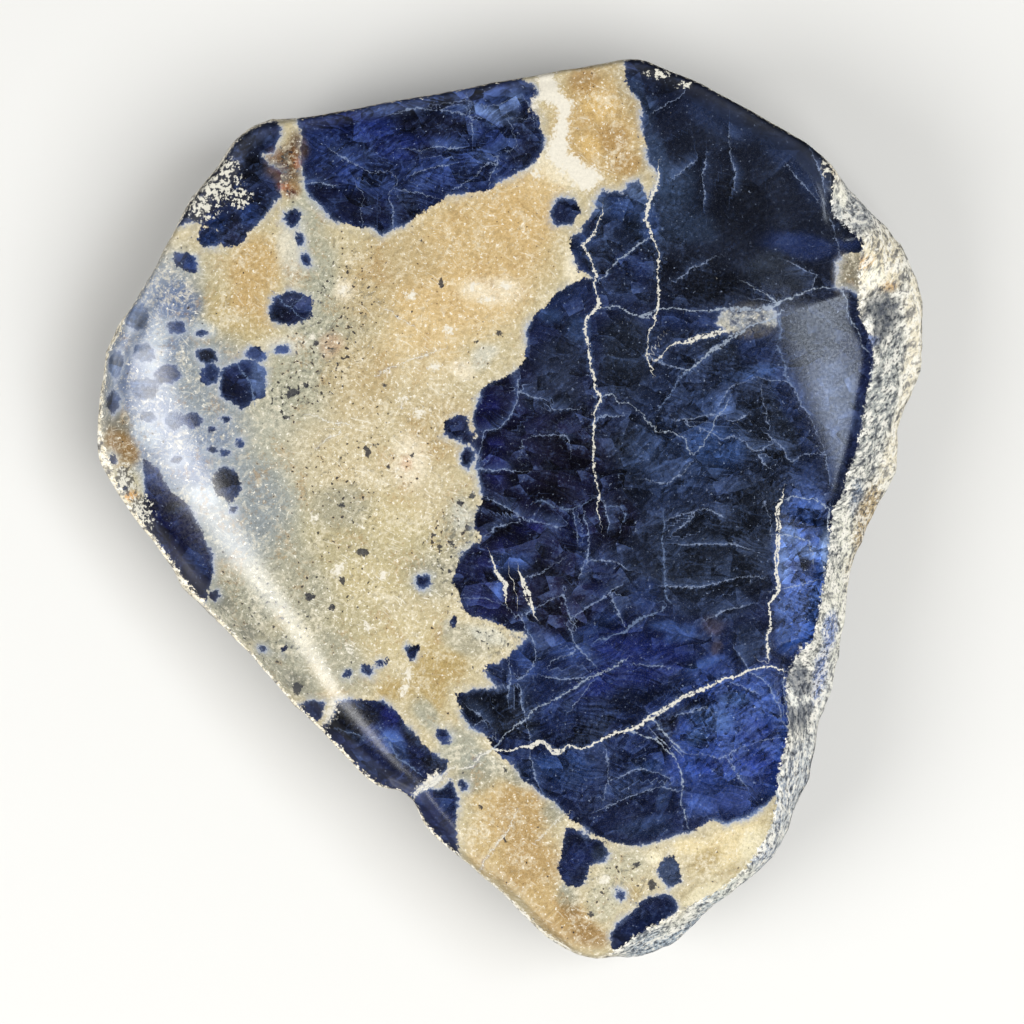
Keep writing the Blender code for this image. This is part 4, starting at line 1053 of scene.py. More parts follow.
# %% Cream coats
CREAM_COATS = [
    ((168, 168, 148), 0.85, [
        (31, 20.5, 2.4, 3), (31, 26, 3, 4, -20), (33, 32, 4.4, 5, 15), (30, 39, 5, 5),
    ]),
    ((172, 174, 160), 0.8, [(24, 46, 8, 6), (17, 40, 5, 8), (17, 31, 4, 6, 20), (26, 52, 6, 5, 40)]),
    ((196, 164, 108), 0.85, [(25.6, 26.8, 3, 3.4, 20), (24.2, 31.2, 3.4, 2.2, 10)]),
    ((184, 168, 122), 0.6, [(20.4, 30.6, 3, 3), (22.6, 33, 4, 2)]),
    ((222, 216, 198), 0.7, [(29.2, 24.8, 1.6, 3.6), (28.8, 34.4, 2.6, 1)]),
    ((206, 174, 118), 0.8, [(48, 25, 8, 6.5, -20), (52, 21, 4, 3.5), (44, 29.5, 6, 3.5)]),
    ((218, 190, 138), 0.7, [(46, 31, 7, 4, -15), (54, 18, 3, 2), (42, 35, 4, 4)]),
    ((190, 168, 124), 0.7, [(40, 26, 4.5, 3), (36.5, 29, 3, 4), (44, 43, 4.4, 4), (36, 38, 4, 5)]),
    ((204, 188, 150), 0.6, [(34, 45, 6, 5), (39, 49, 6, 4), (42, 38, 3, 3)]),
    ((180, 170, 132), 0.75, [(35, 54, 6, 5), (33, 61, 6, 5), (41, 56, 4, 4)]),
    ((164, 162, 142), 0.8, [(29, 58, 3.4, 6, -35), (26, 52, 3, 5, -30), (34, 66, 2.4, 4, -35)]),
    ((204, 188, 142), 0.6, [(37, 58, 3.5, 3), (41, 64, 4, 3), (39.5, 52, 3, 3)]),
    ((162, 158, 136), 0.75, [
        (46, 53, 1.8, 4), (43.5, 57.5, 3, 2.4), (34, 50.6, 3, 2.4), (46.6, 64, 3, 1.6, 20),
    ]),
    ((206, 206, 194), 0.7, [(46, 51.4, 0.9, 1.8), (49, 63.6, 2.4, 0.8, 20), (48.4, 35.6, 1.8, 1, -40)]),
    ((176, 150, 92), 0.7, [(43, 68, 2, 4), (45.2, 66.6, 1.6, 1.6), (39.5, 69, 2, 1)]),
    ((156, 160, 148), 0.7, [
        (46, 74.8, 2.4, 2.4, 30), (42.6, 71.4, 1.2, 2, -30), (48.4, 76.4, 2.4, 1.2, 20),
    ]),
    ((158, 158, 140), 0.85, [
        (24, 61, 4, 4, 45), (28, 66, 3, 3, 45), (21.6, 59.4, 2, 2), (30.4, 68.4, 2, 1.6, 30),
    ]),
    ((118, 118, 104), 0.6, [
        (22.4, 60.4, 1.2, 0.9, 40), (29.6, 68.2, 1.3, 0.9, 30), (25, 63.2, 0.9, 0.9),
    ]),
    # the milky left bevel. Its pale bluish coats are partly the milky rock and partly painted highlight:
    # the shine along the bevel's ridge
    ((122, 136, 160), 0.95, [(14.5, 34, 5.5, 9, 12), (17.5, 44, 7, 8)]),
    ((144, 152, 156), 0.9, [(23, 51, 6, 6, 30), (21, 38, 4, 5)]),
    ((92, 110, 146), 0.7, [
        (13.5, 37, 2.6, 4, 12), (18, 30.5, 2.4, 2, 30), (16.5, 42, 2.4, 2), (19.5, 46.8, 2.6, 1.6, 40),
    ]),
    # painted highlight: near-white streaks laid along the bevel's ridge, where the shine lies
    ((186, 196, 204), 0.7, [
        (15.6, 35, 1.2, 3.2, 10), (14.6, 43.4, 1.8, 1.4, 30), (20.4, 33, 1.4, 1),
        (20.4, 49.6, 1.6, 1.2, 30),
    ]),
    ((126, 118, 96), 0.8, [(12, 42.2, 1.3, 1.5)]),
    ((148, 112, 60), 0.85, [
        (11.8, 44.2, 1.5, 1.3, 30), (13, 45.2, 0.9, 1.5, -20), (12.2, 46.4, 0.9, 0.8),
    ]),
    ((214, 204, 168), 0.9, [(13, 49.6, 2.2, 3.6, -25)]),
    ((216, 160, 84), 0.9, [(13.1, 49.5, 0.8, 0.6)]),
    # the bright glow and the pinkish spots
    ((244, 232, 206), 0.7, [
        (49.2, 29, 3.6, 1.5), (34.5, 28.9, 1.2, 1.2), (46, 37, 1.4, 1, 20), (41, 46, 2, 3),
    ]),
    ((206, 156, 124), 0.4, [(40.6, 46.3, 0.6, 0.7), (33, 34.5, 1.2, 1.4, 20)]),
    # the gold patch at the top
    ((196, 166, 112), 0.95, [(60, 12.4, 5, 6.2)]),
    ((170, 134, 80), 0.7, [(62.6, 16.4, 1.8, 1.4, -20), (61.2, 13.8, 1.8, 1.6), (58.4, 8, 1.6, 1.4)]),
    ((176, 160, 124), 0.7, [(62.9, 9.4, 1.1, 3.2, -12), (64.6, 16.8, 0.8, 1.4)]),
    ((222, 186, 118), 0.6, [(60, 10.6, 1.6, 1.6), (59, 14.6, 1.2, 1.2)]),
    ((238, 226, 196), 0.85, [(56.4, 17.4, 2.6, 1.4, 20), (53.4, 15.8, 1.4, 1.2), (57.4, 26.6, 1, 1.8)]),
    # the foot
    ((180, 148, 94), 0.85, [(51.6, 81.6, 3.6, 4.2, 20), (53, 86.6, 3.6, 3.2), (56.6, 92, 4, 2.4, 30)]),
    ((200, 172, 118), 0.7, [(48.6, 84.6, 2.2, 3.4), (54.4, 90, 2.6, 1.8, 40), (48.4, 79.6, 1.6, 2)]),
    ((150, 148, 128), 0.8, [
        (47.4, 77.8, 2, 1.6), (51.4, 77.6, 2.2, 0.8, 30), (55.4, 81, 1.4, 1.6, 30),
        (56.8, 89.6, 1.2, 1.6),
    ]),
    ((140, 106, 58), 0.6, [(59, 93.6, 2.2, 1.2, 20), (57, 91.2, 1.4, 0.8, 20)]),
    ((186, 180, 152), 0.9, [(62.6, 86.6, 2.6, 1.8), (60.4, 90, 1.8, 2.4)]),
    ((226, 208, 160), 0.9, [(73, 84.6, 4, 1.8, -30), (69, 84.8, 2, 0.8)]),
    ((166, 144, 92), 0.7, [(70.6, 86, 1.8, 1, -30), (63.4, 89.4, 1, 0.8)]),
    ((236, 226, 190), 0.8, [
        (70.2, 89.8, 3, 1.2, -38), (75.4, 84.6, 1.4, 2, 30), (65.4, 85.8, 0.8, 0.6),
    ]),
    ((118, 112, 96), 0.85, [(85.2, 27.6, 2, 2.4)]),
    ((132, 138, 146), 0.9, [(75, 31.6, 3.6, 1.8)]),
]

cream_tones = lay(torn_spot, (198, 184, 146), CREAM_COATS)
print(len(CREAM_COATS), "coats of cream, whose mean is", cream_tones.mean(axis=0).round())

# %% [markdown]
# Rust sits in the seam at the upper left corner. It stains the cream and the blue alike, so it is laid on
# both.

# %% Rust
RUST_COATS = [
    ((80, 58, 40), 0.85, [(28.4, 16.6, 1.9, 1.9), (29.6, 15, 1.1, 1.6)]),
    ((140, 94, 50), 0.6, [(27.4, 15.4, 0.8, 0.6, 30), (28.9, 18.9, 1.1, 0.9), (29.4, 15.8, 0.6, 1.2)]),
    ((176, 88, 44), 0.6, [(28.4, 18.6, 0.6, 0.5), (29.7, 16.4, 0.4, 0.6)]),
    ((66, 30, 24), 0.8, [(29, 19.3, 0.55, 0.45), (28.2, 17, 0.5, 0.5)]),
]

blue_tones = lay(torn_spot, blue_tones, RUST_COATS)
cream_tones = lay(torn_spot, cream_tones, RUST_COATS)
print(len(RUST_COATS), "coats of rust lie over both")

# %% [markdown]
# The rough rim was never polished. Down the right it is salt-and-pepper grey with cream and ochre streaks
# that follow the rim, and elsewhere it is a thin ivory line.

# %% Rim coats
RIM_COATS = [
    ((176, 176, 168), 1, [(88, 55, 9, 40, 12)]),
    ((166, 170, 172), 0.9, [(85.6, 20.6, 3, 4.2, 35)]),
    ((228, 216, 186), 0.95, [(88, 26.6, 2.4, 2.8, 20)]),
    ((196, 146, 82), 0.6, [(86.4, 26.4, 1, 0.8), (88.6, 28.6, 1.2, 0.6)]),
    ((94, 98, 102), 0.9, [(88.2, 31.6, 1.9, 2.5)]),
    ((236, 226, 200), 0.9, [(91.6, 31.2, 1.2, 5), (90.9, 38, 1, 4.5, 12), (89.2, 45, 1, 5, 15)]),
    ((164, 168, 164), 0.8, [(88.2, 40, 1.6, 7, 12)]),
    ((96, 122, 164), 0.5, [(86.4, 36.4, 0.8, 1.6), (85.8, 50.5, 0.8, 2.5)]),
    ((188, 160, 110), 0.75, [(86.6, 52, 1.2, 4, 15), (85, 57.4, 0.8, 2)]),
    ((230, 228, 210), 0.85, [(83.6, 61, 1.6, 5.4, 10), (84.6, 53.4, 0.9, 3)]),
    ((92, 98, 108), 0.85, [(79.8, 69.8, 1.6, 3.4)]),
    ((222, 222, 214), 0.8, [(82.4, 70, 0.9, 5, 12)]),
    ((250, 250, 240), 0.9, [
        (79.4, 69.8, 0.5, 1.2, -20), (80.6, 70, 0.7, 0.45), (86.7, 32.5, 0.5, 0.8),
    ]),
    ((250, 246, 226), 0.85, [(87.5, 27.8, 1.2, 1.4), (84.2, 19.6, 0.6, 1.4, -20)]),
    ((96, 120, 184), 0.75, [(83, 63.2, 0.7, 2.2, 10), (82, 67.4, 0.6, 3, 10), (87.1, 34.1, 0.9, 0.6)]),
    ((158, 168, 182), 0.85, [(79.4, 79.6, 2.2, 6, 14), (76.6, 86, 2.4, 2)]),
    ((206, 208, 204), 0.6, [(80.6, 76, 0.8, 4, 14), (78.6, 82.6, 0.7, 3, 20)]),
    ((148, 164, 180), 0.85, [(72, 90.4, 5, 1.8, -38), (66, 94.4, 4.5, 1.8, -20)]),
    ((226, 222, 200), 0.6, [(73.4, 88.4, 3.4, 0.7, -38), (68, 92.2, 3, 0.6, -35)]),
]

rim_tones = lay(torn_spot, (222, 212, 186), RIM_COATS)
all_coats = BLUE_COATS + CREAM_COATS + RUST_COATS + RIM_COATS
print("the coats hold", sum(len(ovals) for *_, ovals in all_coats), "ovals")

# %% [markdown]
# Last come amounts that steer the material's grain: how strongly the blue is cracked into blocks, how
# fibrous it is and how much haze floats in it, and in the cream how thickly black grains and white flakes
# are sown. Softness is how far below the polish a border lies: on the milky bevel the crystals are seen
# through a veil of cream rock. They are laid on like the tones. An oval here is x, y, across, down,
# degrees turned, if any, and the amount.

# %% Amounts of grain
CRACKLE = [
    (54, 50, 10, 13, 1), (54, 61, 6, 5, 1), (62, 24, 5, 6, 0.8), (72, 46, 9, 9, 0.35),
    (62, 72, 14, 9, 0.5), (50, 12, 4, 5, 0.9), (80.4, 57.5, 3, 9.5, 0.9), (40, 74, 9, 7, 0.5),
    (76, 18, 13, 12, 0.08), (74, 75, 6, 6, 0.4), (44, 83, 4, 5, 0.6),
]
FIBRES = [
    (41, 14, 12, 8, 1), (74, 75, 7, 7, 0.8), (60, 70, 12, 8, 0.8), (54, 48, 8, 10, 0.5),
    (72, 46, 10, 12, 0.6), (76, 19, 13, 12, 0.2), (80.4, 57.5, 3, 9.5, 0.7),
]
HAZE = [
    (41, 14, 12, 8, 0.5), (74, 72, 7, 6, 0.9), (60, 76, 10, 6, 0.5), (72, 44, 10, 10, 0.6),
    (76, 18, 12, 12, 0.12), (66, 22, 4, 6, 0.5), (54, 48, 7, 10, 0.12), (80.4, 57.5, 3, 9.5, 1),
    (24, 20, 6, 8, 0.6), (38, 75, 8, 6, 0.4),
]
PEPPER = [
    (33, 33, 4.5, 9, 20, 0.9), (29, 39.5, 3, 2.5, 1), (33, 48, 5, 5, 0.6), (46, 55, 4, 6, 0.9),
    (27, 62, 6, 6, 45, 0.7), (41, 44, 5, 5, 0.45), (47, 27, 7, 6, 0.1), (34, 57, 5, 5, 0.5),
    (50, 64, 4, 2, 20, 0.9), (75, 32, 3, 2, 1), (28.5, 17, 2, 3, 1), (62, 88, 4, 3, 0.8),
    (60, 12, 4, 6, 0.05), (36, 50, 3, 3, 0.7),
]
FLAKES = [
    (41, 46, 9, 14, 0.8), (38, 60, 7, 6, 1), (47, 28, 8, 6, 0.6), (30, 28, 6, 6, 0.4),
    (60, 12, 4, 6, 0.6), (53, 86, 6, 7, 0.5), (24, 28, 4, 5, 0.4), (16, 38, 7, 12, 10, 0.6),
    (28.5, 17, 3, 4, 0),
]
SOFTNESS = [
    (14, 36, 5, 9, 10, 0.24), (21, 45, 4, 5, 45, 0.14), (41, 76, 5, 5, 0.12), (75, 32, 3, 2, 0.3),
    (84.2, 27.5, 1.2, 2.6, 0.26),
]

HABITS = {
    "crackle": (0.4, CRACKLE),
    "fibres": (0.4, FIBRES),
    "haze": (0.3, HAZE),
    "pepper": (0.15, PEPPER),
    "flakes": (0.4, FLAKES),
    "softness": (0.07, SOFTNESS),
}
habits = {}
for name, (base, ovals) in HABITS.items():
    habits[name] = lay(spot, base, [(level, 1, [oval]) for *oval, level in ovals])[:, 0]
    print(name, "from", habits[name].min().round(2), "to", habits[name].max().round(2))

# %% [markdown]
# Clouds and warps wider than a millimetre or so are worked out here too, once for each vertex, because
# the renderer would otherwise have to work them out again for every ray. Fine grain would smear where the
# wall drops away, so its places are unrolled: each point of the rim and wall moves outwards until it is
# as far from the face's edge as the way down to it is long. The drift pushes a place about in long waves
# for fibres, and the shatter only nudges it, for the edges of broken blocks.

# %% Clouds and warps
DRIFT = 0.8
DRIFT_SIZE = 3.2
SHATTER = 0.16
SHATTER_SIZE = 1.3
CLOUD_SIZE = 2.6
PATCH_SIZE = 2.0

down = [np.zeros(COLUMNS)]
for upper, lower in zip([edge_points, *rows[:-2]], rows[:-1]):
    down.append(down[-1] + np.linalg.norm(lower - upper, axis=1))
foot_down = down[-1][::2] + np.linalg.norm(rows[-1] - rows[-2][::2], axis=1)
way_down = np.concatenate([np.zeros(len(face)), *down[1:], foot_down, np.zeros(len(under))])
from_heart = points[:, :2] - HEART
turn = np.arctan2(from_heart[:, 1], from_heart[:, 0])
stretch = (at_angle(edge_radius, turn) + way_down) / np.hypot(*from_heart.T)
grain_spot = np.where((way_down > 0)[:, None], HEART + stretch[:, None] * from_heart, spot)

drift_spot = grain_spot + DRIFT * pushed(DRIFT_SIZE, 61)
shatter_spot = grain_spot + SHATTER * pushed(SHATTER_SIZE, 81)
drifted = np.column_stack([drift_spot, depth])
clouds = {
    "cloud": rock_noise(drifted, CLOUD_SIZE, 3, 101),
    "patches": rock_noise(drifted, PATCH_SIZE, 3, 111),
}
for name, cloud in clouds.items():
    print(name, "spreads over", np.percentile(cloud, (5, 95)).round(2))

# %% [markdown]
# The rough side says how far a point lies outside the polished face, so that the material can end the
# polish along a ragged line. Where the rim is narrow the wheel has run over it, so it counts as polished
# nearly to the girdle, but the belt, a strip that ends just inside the face's edge, is only ground and
# stays matt there. The rim's own tones fade out below the girdle, where the broken inside of the stone
# shows.

# %% Handing the pattern to the mesh
RIM_REACH = 3.5
WORN_EDGE = 0.25
BELT_FROM = 1.1
BELT_TO = 0.4

worn_reach = (rim_width - WORN_EDGE) * narrow
rough_side = np.full(len(points), rim_width.max())
rough_side[: len(face)] = -from_edge - at_angle(worn_reach, angle.ravel())
rough_side[len(face) : rim_end] = (rim_share[:, None] * rim_width - worn_reach).ravel()

belt = np.zeros(len(points))
belt[: len(face)] = at_angle(narrow, angle.ravel()) * soft_step(from_edge, BELT_FROM, BELT_TO)
belt[len(face) : rim_end] = np.tile(narrow, RIM_ROWS)

across_rim = way_down.copy()
across_rim[: len(face)] = -from_edge
rim_spot = np.column_stack([turn * edge_radius.mean(), across_rim])
rim_part = np.where(on_top, 1, 1 - depth / RIM_REACH).clip(0, 1)


def hand_over(name, kind, field, values):
    """Puts one row of values for each vertex into a new layer of the mesh."""
    mesh.attributes.new(name, kind, "POINT").data.foreach_set(field, values.astype(np.float32).ravel())


layers = {
    "blue_side": blue_side, "chalk_side": chalk_side, "black_side": black_side, "crust": crust,
    "belt": belt, "rough_side": rough_side, "rim_part": rim_part, **vein_layers, **habits, **clouds,
}
for name, values in layers.items():
    hand_over(name, "FLOAT", "value", values)
places = {"spot": grain_spot, "drift_spot": drift_spot, "shatter_spot": shatter_spot, "rim_spot": rim_spot}
for name, spots in places.items():
    hand_over(name, "FLOAT_VECTOR", "vector", np.column_stack([spots, np.zeros(len(spots))]))
for name, tones in {"blue_tone": blue_tones, "cream_tone": cream_tones, "rim_tone": rim_tones}.items():
    hand_over(name, "FLOAT_COLOR", "color", np.column_stack([light_values(tones), np.ones(len(tones))]))
print("the mesh carries", len(mesh.attributes), "layers of pattern")

# %% [markdown]
# The material reads those layers and adds everything finer than the mesh: fibres, cleavage blocks, haze
# and specks in the blue, grain and grit in the cream, salt and pepper on the rim. One could paint an
# image for this, but nodes stay sharp at any distance and need no unwrapping. A small helper keeps the
# wiring readable.

# %% Wiring nodes
def tone(*levels):
    """A shader's colour for a tone written 0 to 255."""
    return (*light_values(np.array(levels, float)).tolist(), 1)


class Wiring:
    """Adds nodes to a material. An input is a number, a colour or vector, or another node's output."""

    def __init__(self, tree):
        self.tree = tree

    def node(self, kind, inputs, **settings):
        node = self.tree.nodes.new(kind)
        for name, value in settings.items():
            setattr(node, name, value)
        for name, value in inputs.items():
            if isinstance(value, bpy.types.NodeSocket):
                self.tree.links.new(value, node.inputs[name])
            else:
                node.inputs[name].default_value = value
        return node

    def layer(self, name, output="Fac"):
        """A number, or with another output a colour or vector, that the mesh carries."""
        return self.node("ShaderNodeAttribute", {}, attribute_name=name).outputs[output]

    def math(self, operation, *values):
        return self.node("ShaderNodeMath", dict(enumerate(values)), operation=operation).outputs[0]

    def plus(self, first, second):
        return self.math("ADD", first, second)

    def minus(self, first, second):
        return self.math("SUBTRACT", first, second)

    def times_plus(self, first, factor, added):
        return self.math("MULTIPLY_ADD", first, factor, added)

    def times(self, first, *others):
        for other in others:
            first = self.math("MULTIPLY", first, other)
        return first

    def step(self, value, nothing, full, low=0.0, high=1.0):
        """Eases from low to high as the value goes from nothing to full."""
        inputs = {"Value": value, "From Min": nothing, "From Max": full, "To Min": low, "To Max": high}
        return self.node("ShaderNodeMapRange", inputs, interpolation_type="SMOOTHSTEP").outputs[0]

    def spread(self, value, low, high, nothing=0.3, full=0.7):
        """Straight from low to high, as noise goes between the values that it seldom leaves."""
        inputs = {"Value": value, "From Min": nothing, "From Max": full, "To Min": low, "To Max": high}
        return self.node("ShaderNodeMapRange", inputs, clamp=False).outputs[0]

    def mix(self, share, first, second):
        inputs = {0: share, 6: first, 7: second}
        return self.node("ShaderNodeMix", inputs, data_type="RGBA").outputs[2]

    def tint(self, colour, levels, most, value, nothing, full):
        """A tone laid over a colour. Its share eases from 0 to most as the value nears full."""
        return self.mix(self.step(value, nothing, full, 0.0, most), colour, tone(*levels))

    def vector(self, operation, first, second):
        return self.node("ShaderNodeVectorMath", {0: first, 1: second}, operation=operation)

    def brighten(self, colour, factor):
        """A colour times a number."""
        if isinstance(colour, tuple):
            colour = colour[:3]
        return self.node("ShaderNodeVectorMath", {0: colour, "Scale": factor}, operation="SCALE").outputs[0]

    def noise(self, where, size=1.0, detail=2.0, roughness=0.75):
        """Cloudy noise whose largest lumps have this size in millimetres."""
        inputs = {"Vector": where, "Scale": 1 / size, "Detail": detail, "Roughness": roughness}
        return self.node("ShaderNodeTexNoise", inputs, noise_dimensions="2D").outputs[0]

    def along(self, where, degrees, length, breadth):
        """Coordinates in which a lump of size 1 is this long and broad, turned by this angle."""
        inputs = {"Vector": where, "Rotation": (0, 0, math.radians(degrees)), "Scale": (length, breadth, 1)}
        return self.node("ShaderNodeMapping", inputs, vector_type="TEXTURE").outputs[0]


material = bpy.data.materials.new("sodalite_polished_and_broken")
material.use_nodes = True
wiring = Wiring(material.node_tree)
shader = material.node_tree.nodes["Principled BSDF"]
grain_place = wiring.layer("spot", "Vector")
drifting = wiring.layer("drift_spot", "Vector")
shattered = wiring.layer("shatter_spot", "Vector")
print("the material is", material.name)

# %% [markdown]
# Blue sodalite is cracked inside along planes that lean every way. Each crack shows as a crisp line where
# it meets the polish and fades off to one side where it dives. A field of random cells gives exactly
# that: every cell gets a brightness that leans across it in its own direction, so it jumps at the cell's
# border. Three sizes of cells are laid over one another, and fibres, which are noise stretched along a
# few directions, run through them.

# %% The blue
PALE_BLUE = tone(84, 108, 156)
FROST = tone(160, 176, 204)
FIBRE_RUNS = ((-32, 4.5, 0.40), (16, 3.8, 0.24))
LEAN_CONTRAST = 3.2
LEVEL_CONTRAST = 0.9
LEANS = (
    # degrees turned, length and breadth in mm, what gates it, how much it shades and how much it whitens
    (-18, 5.2, 3.0, "fibres", 1.0, 0.60),
    (28, 2.4, 1.6, "crackle", 1.15, 0.80),
    (-50, 0.75, 0.5, "haze", 0.9, 0.50),
)
speckle = wiring.noise(grain_place, 0.42)
torn = wiring.noise(grain_place, 0.50)
haze = wiring.layer("haze")
fibres = wiring.layer("fibres")
patches = wiring.layer("patches")
deep_blue = wiring.layer("blue_tone", "Color")
pale_blue = wiring.mix(0.55, wiring.brighten(deep_blue, 3.0), PALE_BLUE)


def leaning_cells(here):
    """Brightness that leans across each cell its own way, about -0.3 to 0.3, and each cell's level."""
    inputs = {"Vector": here, "Scale": 1.0}
    cell = wiring.node("ShaderNodeTexVoronoi", inputs, voronoi_dimensions="2D").outputs
    offset = wiring.vector("SUBTRACT", here, cell["Position"]).outputs[0]
    lean = wiring.vector("SUBTRACT", cell["Color"], (0.5, 0.5, 0.5)).outputs[0]
    lean = wiring.vector("DOT_PRODUCT", offset, lean).outputs["Value"]
    return lean, wiring.spread(cell["Color"], -0.5, 0.5, 0, 1)


# Fibres run one way or the other, block by block.
leans = [leaning_cells(wiring.along(shattered, *across)) for *across, _, _, _ in LEANS]
runs = [wiring.noise(wiring.along(drifting, *run)) for run in FIBRE_RUNS]
one_way = wiring.step(leans[0][1], -0.02, 0.02)
other_way = wiring.times(wiring.minus(1.0, one_way), runs[1])
strand = wiring.plus(wiring.times(one_way, runs[0]), other_way)
hairy = wiring.spread(strand, 0.25, 1.1)
deeper = wiring.times_plus(wiring.spread(strand, -0.5, 0.5), fibres, 1.0)
blue = wiring.brighten(deep_blue, wiring.math("MAXIMUM", deeper, 0.35))

# Veils are what whitens the blue once it is shaded: a share and a colour each.
veils = []
for (*_, name, shading, whitening), (lean, level) in zip(LEANS, leans):
    amount = wiring.layer(name)
    shade = wiring.times_plus(lean, LEAN_CONTRAST * shading, wiring.times(level, LEVEL_CONTRAST * shading))
    blue = wiring.brighten(blue, wiring.math("MAXIMUM", wiring.times_plus(shade, amount, 1.0), 0.3))
    grainy = wiring.plus(wiring.spread(torn, -0.10, 0.10), lean)
    veils.append((wiring.times(wiring.step(grainy, 0.05, 0.30), amount, hairy, whitening), pale_blue))
print("the blue has", len(FIBRE_RUNS), "runs of fibres and", len(LEANS), "sizes of leaning cracks")

# %% [markdown]
# A hairline is the edge of such a crack too. The blue glows on the side where the crack dives and is a
# little clearer and darker on the other. Mist, pale strands and frosty specks of white mineral come last.

# %% Glow, mist and specks
hair_side = wiring.layer("hair_vein_side")
dives = wiring.times(wiring.step(hair_side, -0.03, 0.03), wiring.step(hair_side, 1.4, 0.0))
veils.append((wiring.times(dives, hairy, wiring.step(patches, -0.6, 0.6), 0.5), pale_blue))
clear = wiring.times(wiring.step(hair_side, 0.03, -0.03), wiring.step(hair_side, -1.2, 0.0))
blue = wiring.brighten(blue, wiring.times_plus(clear, -0.22, 1.0))
blue = wiring.brighten(blue, wiring.spread(speckle, 0.85, 1.15))
cloud = wiring.layer("cloud")
misty = wiring.plus(cloud, wiring.spread(torn, -0.8, 0.8))
veils.append((wiring.times(wiring.step(misty, 0.1, 1.2), haze, hairy, 0.6), pale_blue))
veils.append((wiring.times(wiring.step(strand, 0.60, 0.80), fibres, 0.35), pale_blue))
specks = wiring.times(wiring.step(speckle, 0.70, 0.78), wiring.spread(haze, 0.35, 0.8, 0, 1))
veils.append((specks, FROST))
for share, veil in veils:
    blue = wiring.mix(share, blue, veil)
print(len(veils), "veils lie over the blue")

# %% [markdown]
# Cream nepheline rock is a mass of grains under half a millimetre: tan, honey and white. Over them lie
# white flakes left by the polishing, and black grains that crowd together where the amounts say so.
# Flakes and grains are cut from the peaks of noise, because dots from a regular field look sown by a
# machine.

# %% The cream
pepper = wiring.layer("pepper")
flakes = wiring.layer("flakes")
gritty = wiring.noise(grain_place, 0.30, 2.0, 0.8)
crumbly = wiring.noise(wiring.along(drifting, -40, 0.9, 0.55), 1.0, 3.0, 0.7)
honey = wiring.plus(patches, wiring.spread(torn, -0.9, 0.9))
cream = wiring.layer("cream_tone", "Color")
cream = wiring.tint(cream, (176, 140, 86), 0.50, honey, 0.2, 1.8)
cream = wiring.tint(cream, (238, 228, 202), 0.55, honey, -0.3, -1.7)
cream = wiring.tint(cream, (240, 230, 204), 0.30, crumbly, 0.54, 0.64)
cream = wiring.brighten(cream, wiring.step(crumbly, 0.47, 0.34, 1.0, 0.84))
grit = wiring.times(wiring.spread(gritty, -1, 1), wiring.spread(pepper, 0.07, 0.19, 0, 1))
cream = wiring.brighten(cream, wiring.plus(grit, wiring.spread(speckle, 0.92, 1.08)))

scrape = wiring.noise(wiring.along(drifting, 28, 2.4, 0.24), 1.0, 2.0, 0.6)
scraped = wiring.times(wiring.step(scrape, 0.64, 0.78), flakes, 0.8)
cream = wiring.mix(scraped, cream, tone(248, 242, 224))
cream = wiring.tint(cream, (250, 244, 228), 0.85, wiring.times_plus(flakes, 0.06, speckle), 0.67, 0.75)

dotted = wiring.times_plus(pepper, 0.13, wiring.noise(grain_place, 0.50, 1.0, 0.5))
cream = wiring.tint(cream, (44, 44, 50), 0.9, dotted, 0.80, 0.84)
dull = wiring.step(wiring.times_plus(pepper, 0.10, wiring.minus(1.0, crumbly)), 0.66, 0.78)
cream = wiring.mix(wiring.times(dull, pepper, 0.6), cream, tone(106, 106, 98))
black_side = wiring.plus(wiring.layer("black_side"), wiring.spread(torn, -0.14, 0.14))
cream = wiring.tint(cream, (46, 48, 58), 0.9, black_side, -0.08, 0.06)
print("the material has", len(material.node_tree.nodes), "nodes so far")

# %% [markdown]
# Where blue meets cream there is a thin reaction rim: the cream turns milky just outside the border and
# the blue turns pale just inside it. Small noise added to the distance makes the border itself ragged.
# Where the border lies below the polish, it is soft and some cream veils the blue.

# %% Blue, cream, chalk and crust together
softness = wiring.layer("softness")
blue_side = wiring.plus(wiring.layer("blue_side"), wiring.spread(torn, -0.16, 0.16))
patchy = wiring.step(patches, -0.8, 0.7)
milky = wiring.times(wiring.step(blue_side, -0.9, -0.05), patchy, 0.5)
cream = wiring.mix(milky, cream, tone(178, 186, 192))
paler = wiring.times(wiring.step(blue_side, 0.5, 0.04), patchy, 0.5)
blue = wiring.mix(paler, blue, tone(92, 112, 154))
inside_blue = wiring.step(blue_side, wiring.times(softness, -1.0), softness)
veiled = wiring.times(wiring.step(softness, 0.1, 0.5), wiring.spread(torn, 0.2, 0.6))
body = wiring.mix(wiring.times(inside_blue, wiring.minus(1.0, veiled)), cream, blue)
fringe = wiring.step(wiring.math("ABSOLUTE", wiring.plus(blue_side, 0.04)), 0.17, 0.03)
body = wiring.mix(wiring.times(fringe, patchy, 0.6), body, tone(176, 184, 200))

chalk_side = wiring.plus(wiring.layer("chalk_side"), wiring.spread(torn, -0.4, 0.4))
chalky = wiring.step(chalk_side, -0.30, 0.25)
body = wiring.mix(chalky, body, wiring.brighten(tone(236, 229, 211), wiring.spread(gritty, 0.90, 1.05)))

crust = wiring.layer("crust")
body = wiring.tint(body, (40, 42, 52), 0.8, wiring.times_plus(crust, 0.5, crumbly), 0.62, 0.72)
crumbs = wiring.step(wiring.times_plus(crust, 0.22, torn), 0.60, 0.68)
body = wiring.mix(wiring.times(crumbs, wiring.step(crust, -0.1, 0.2)), body, tone(226, 222, 206))
print("blue, cream, chalk and crust meet in one colour")

# %% [markdown]
# The veins are drawn from their distances. Their width swells and pinches with noise, and where a white
# vein is wide it parts into two strands. Hairlines fade in and out, as real ones do where the crack was
# tight. Beside each vein the stone is a little pale.

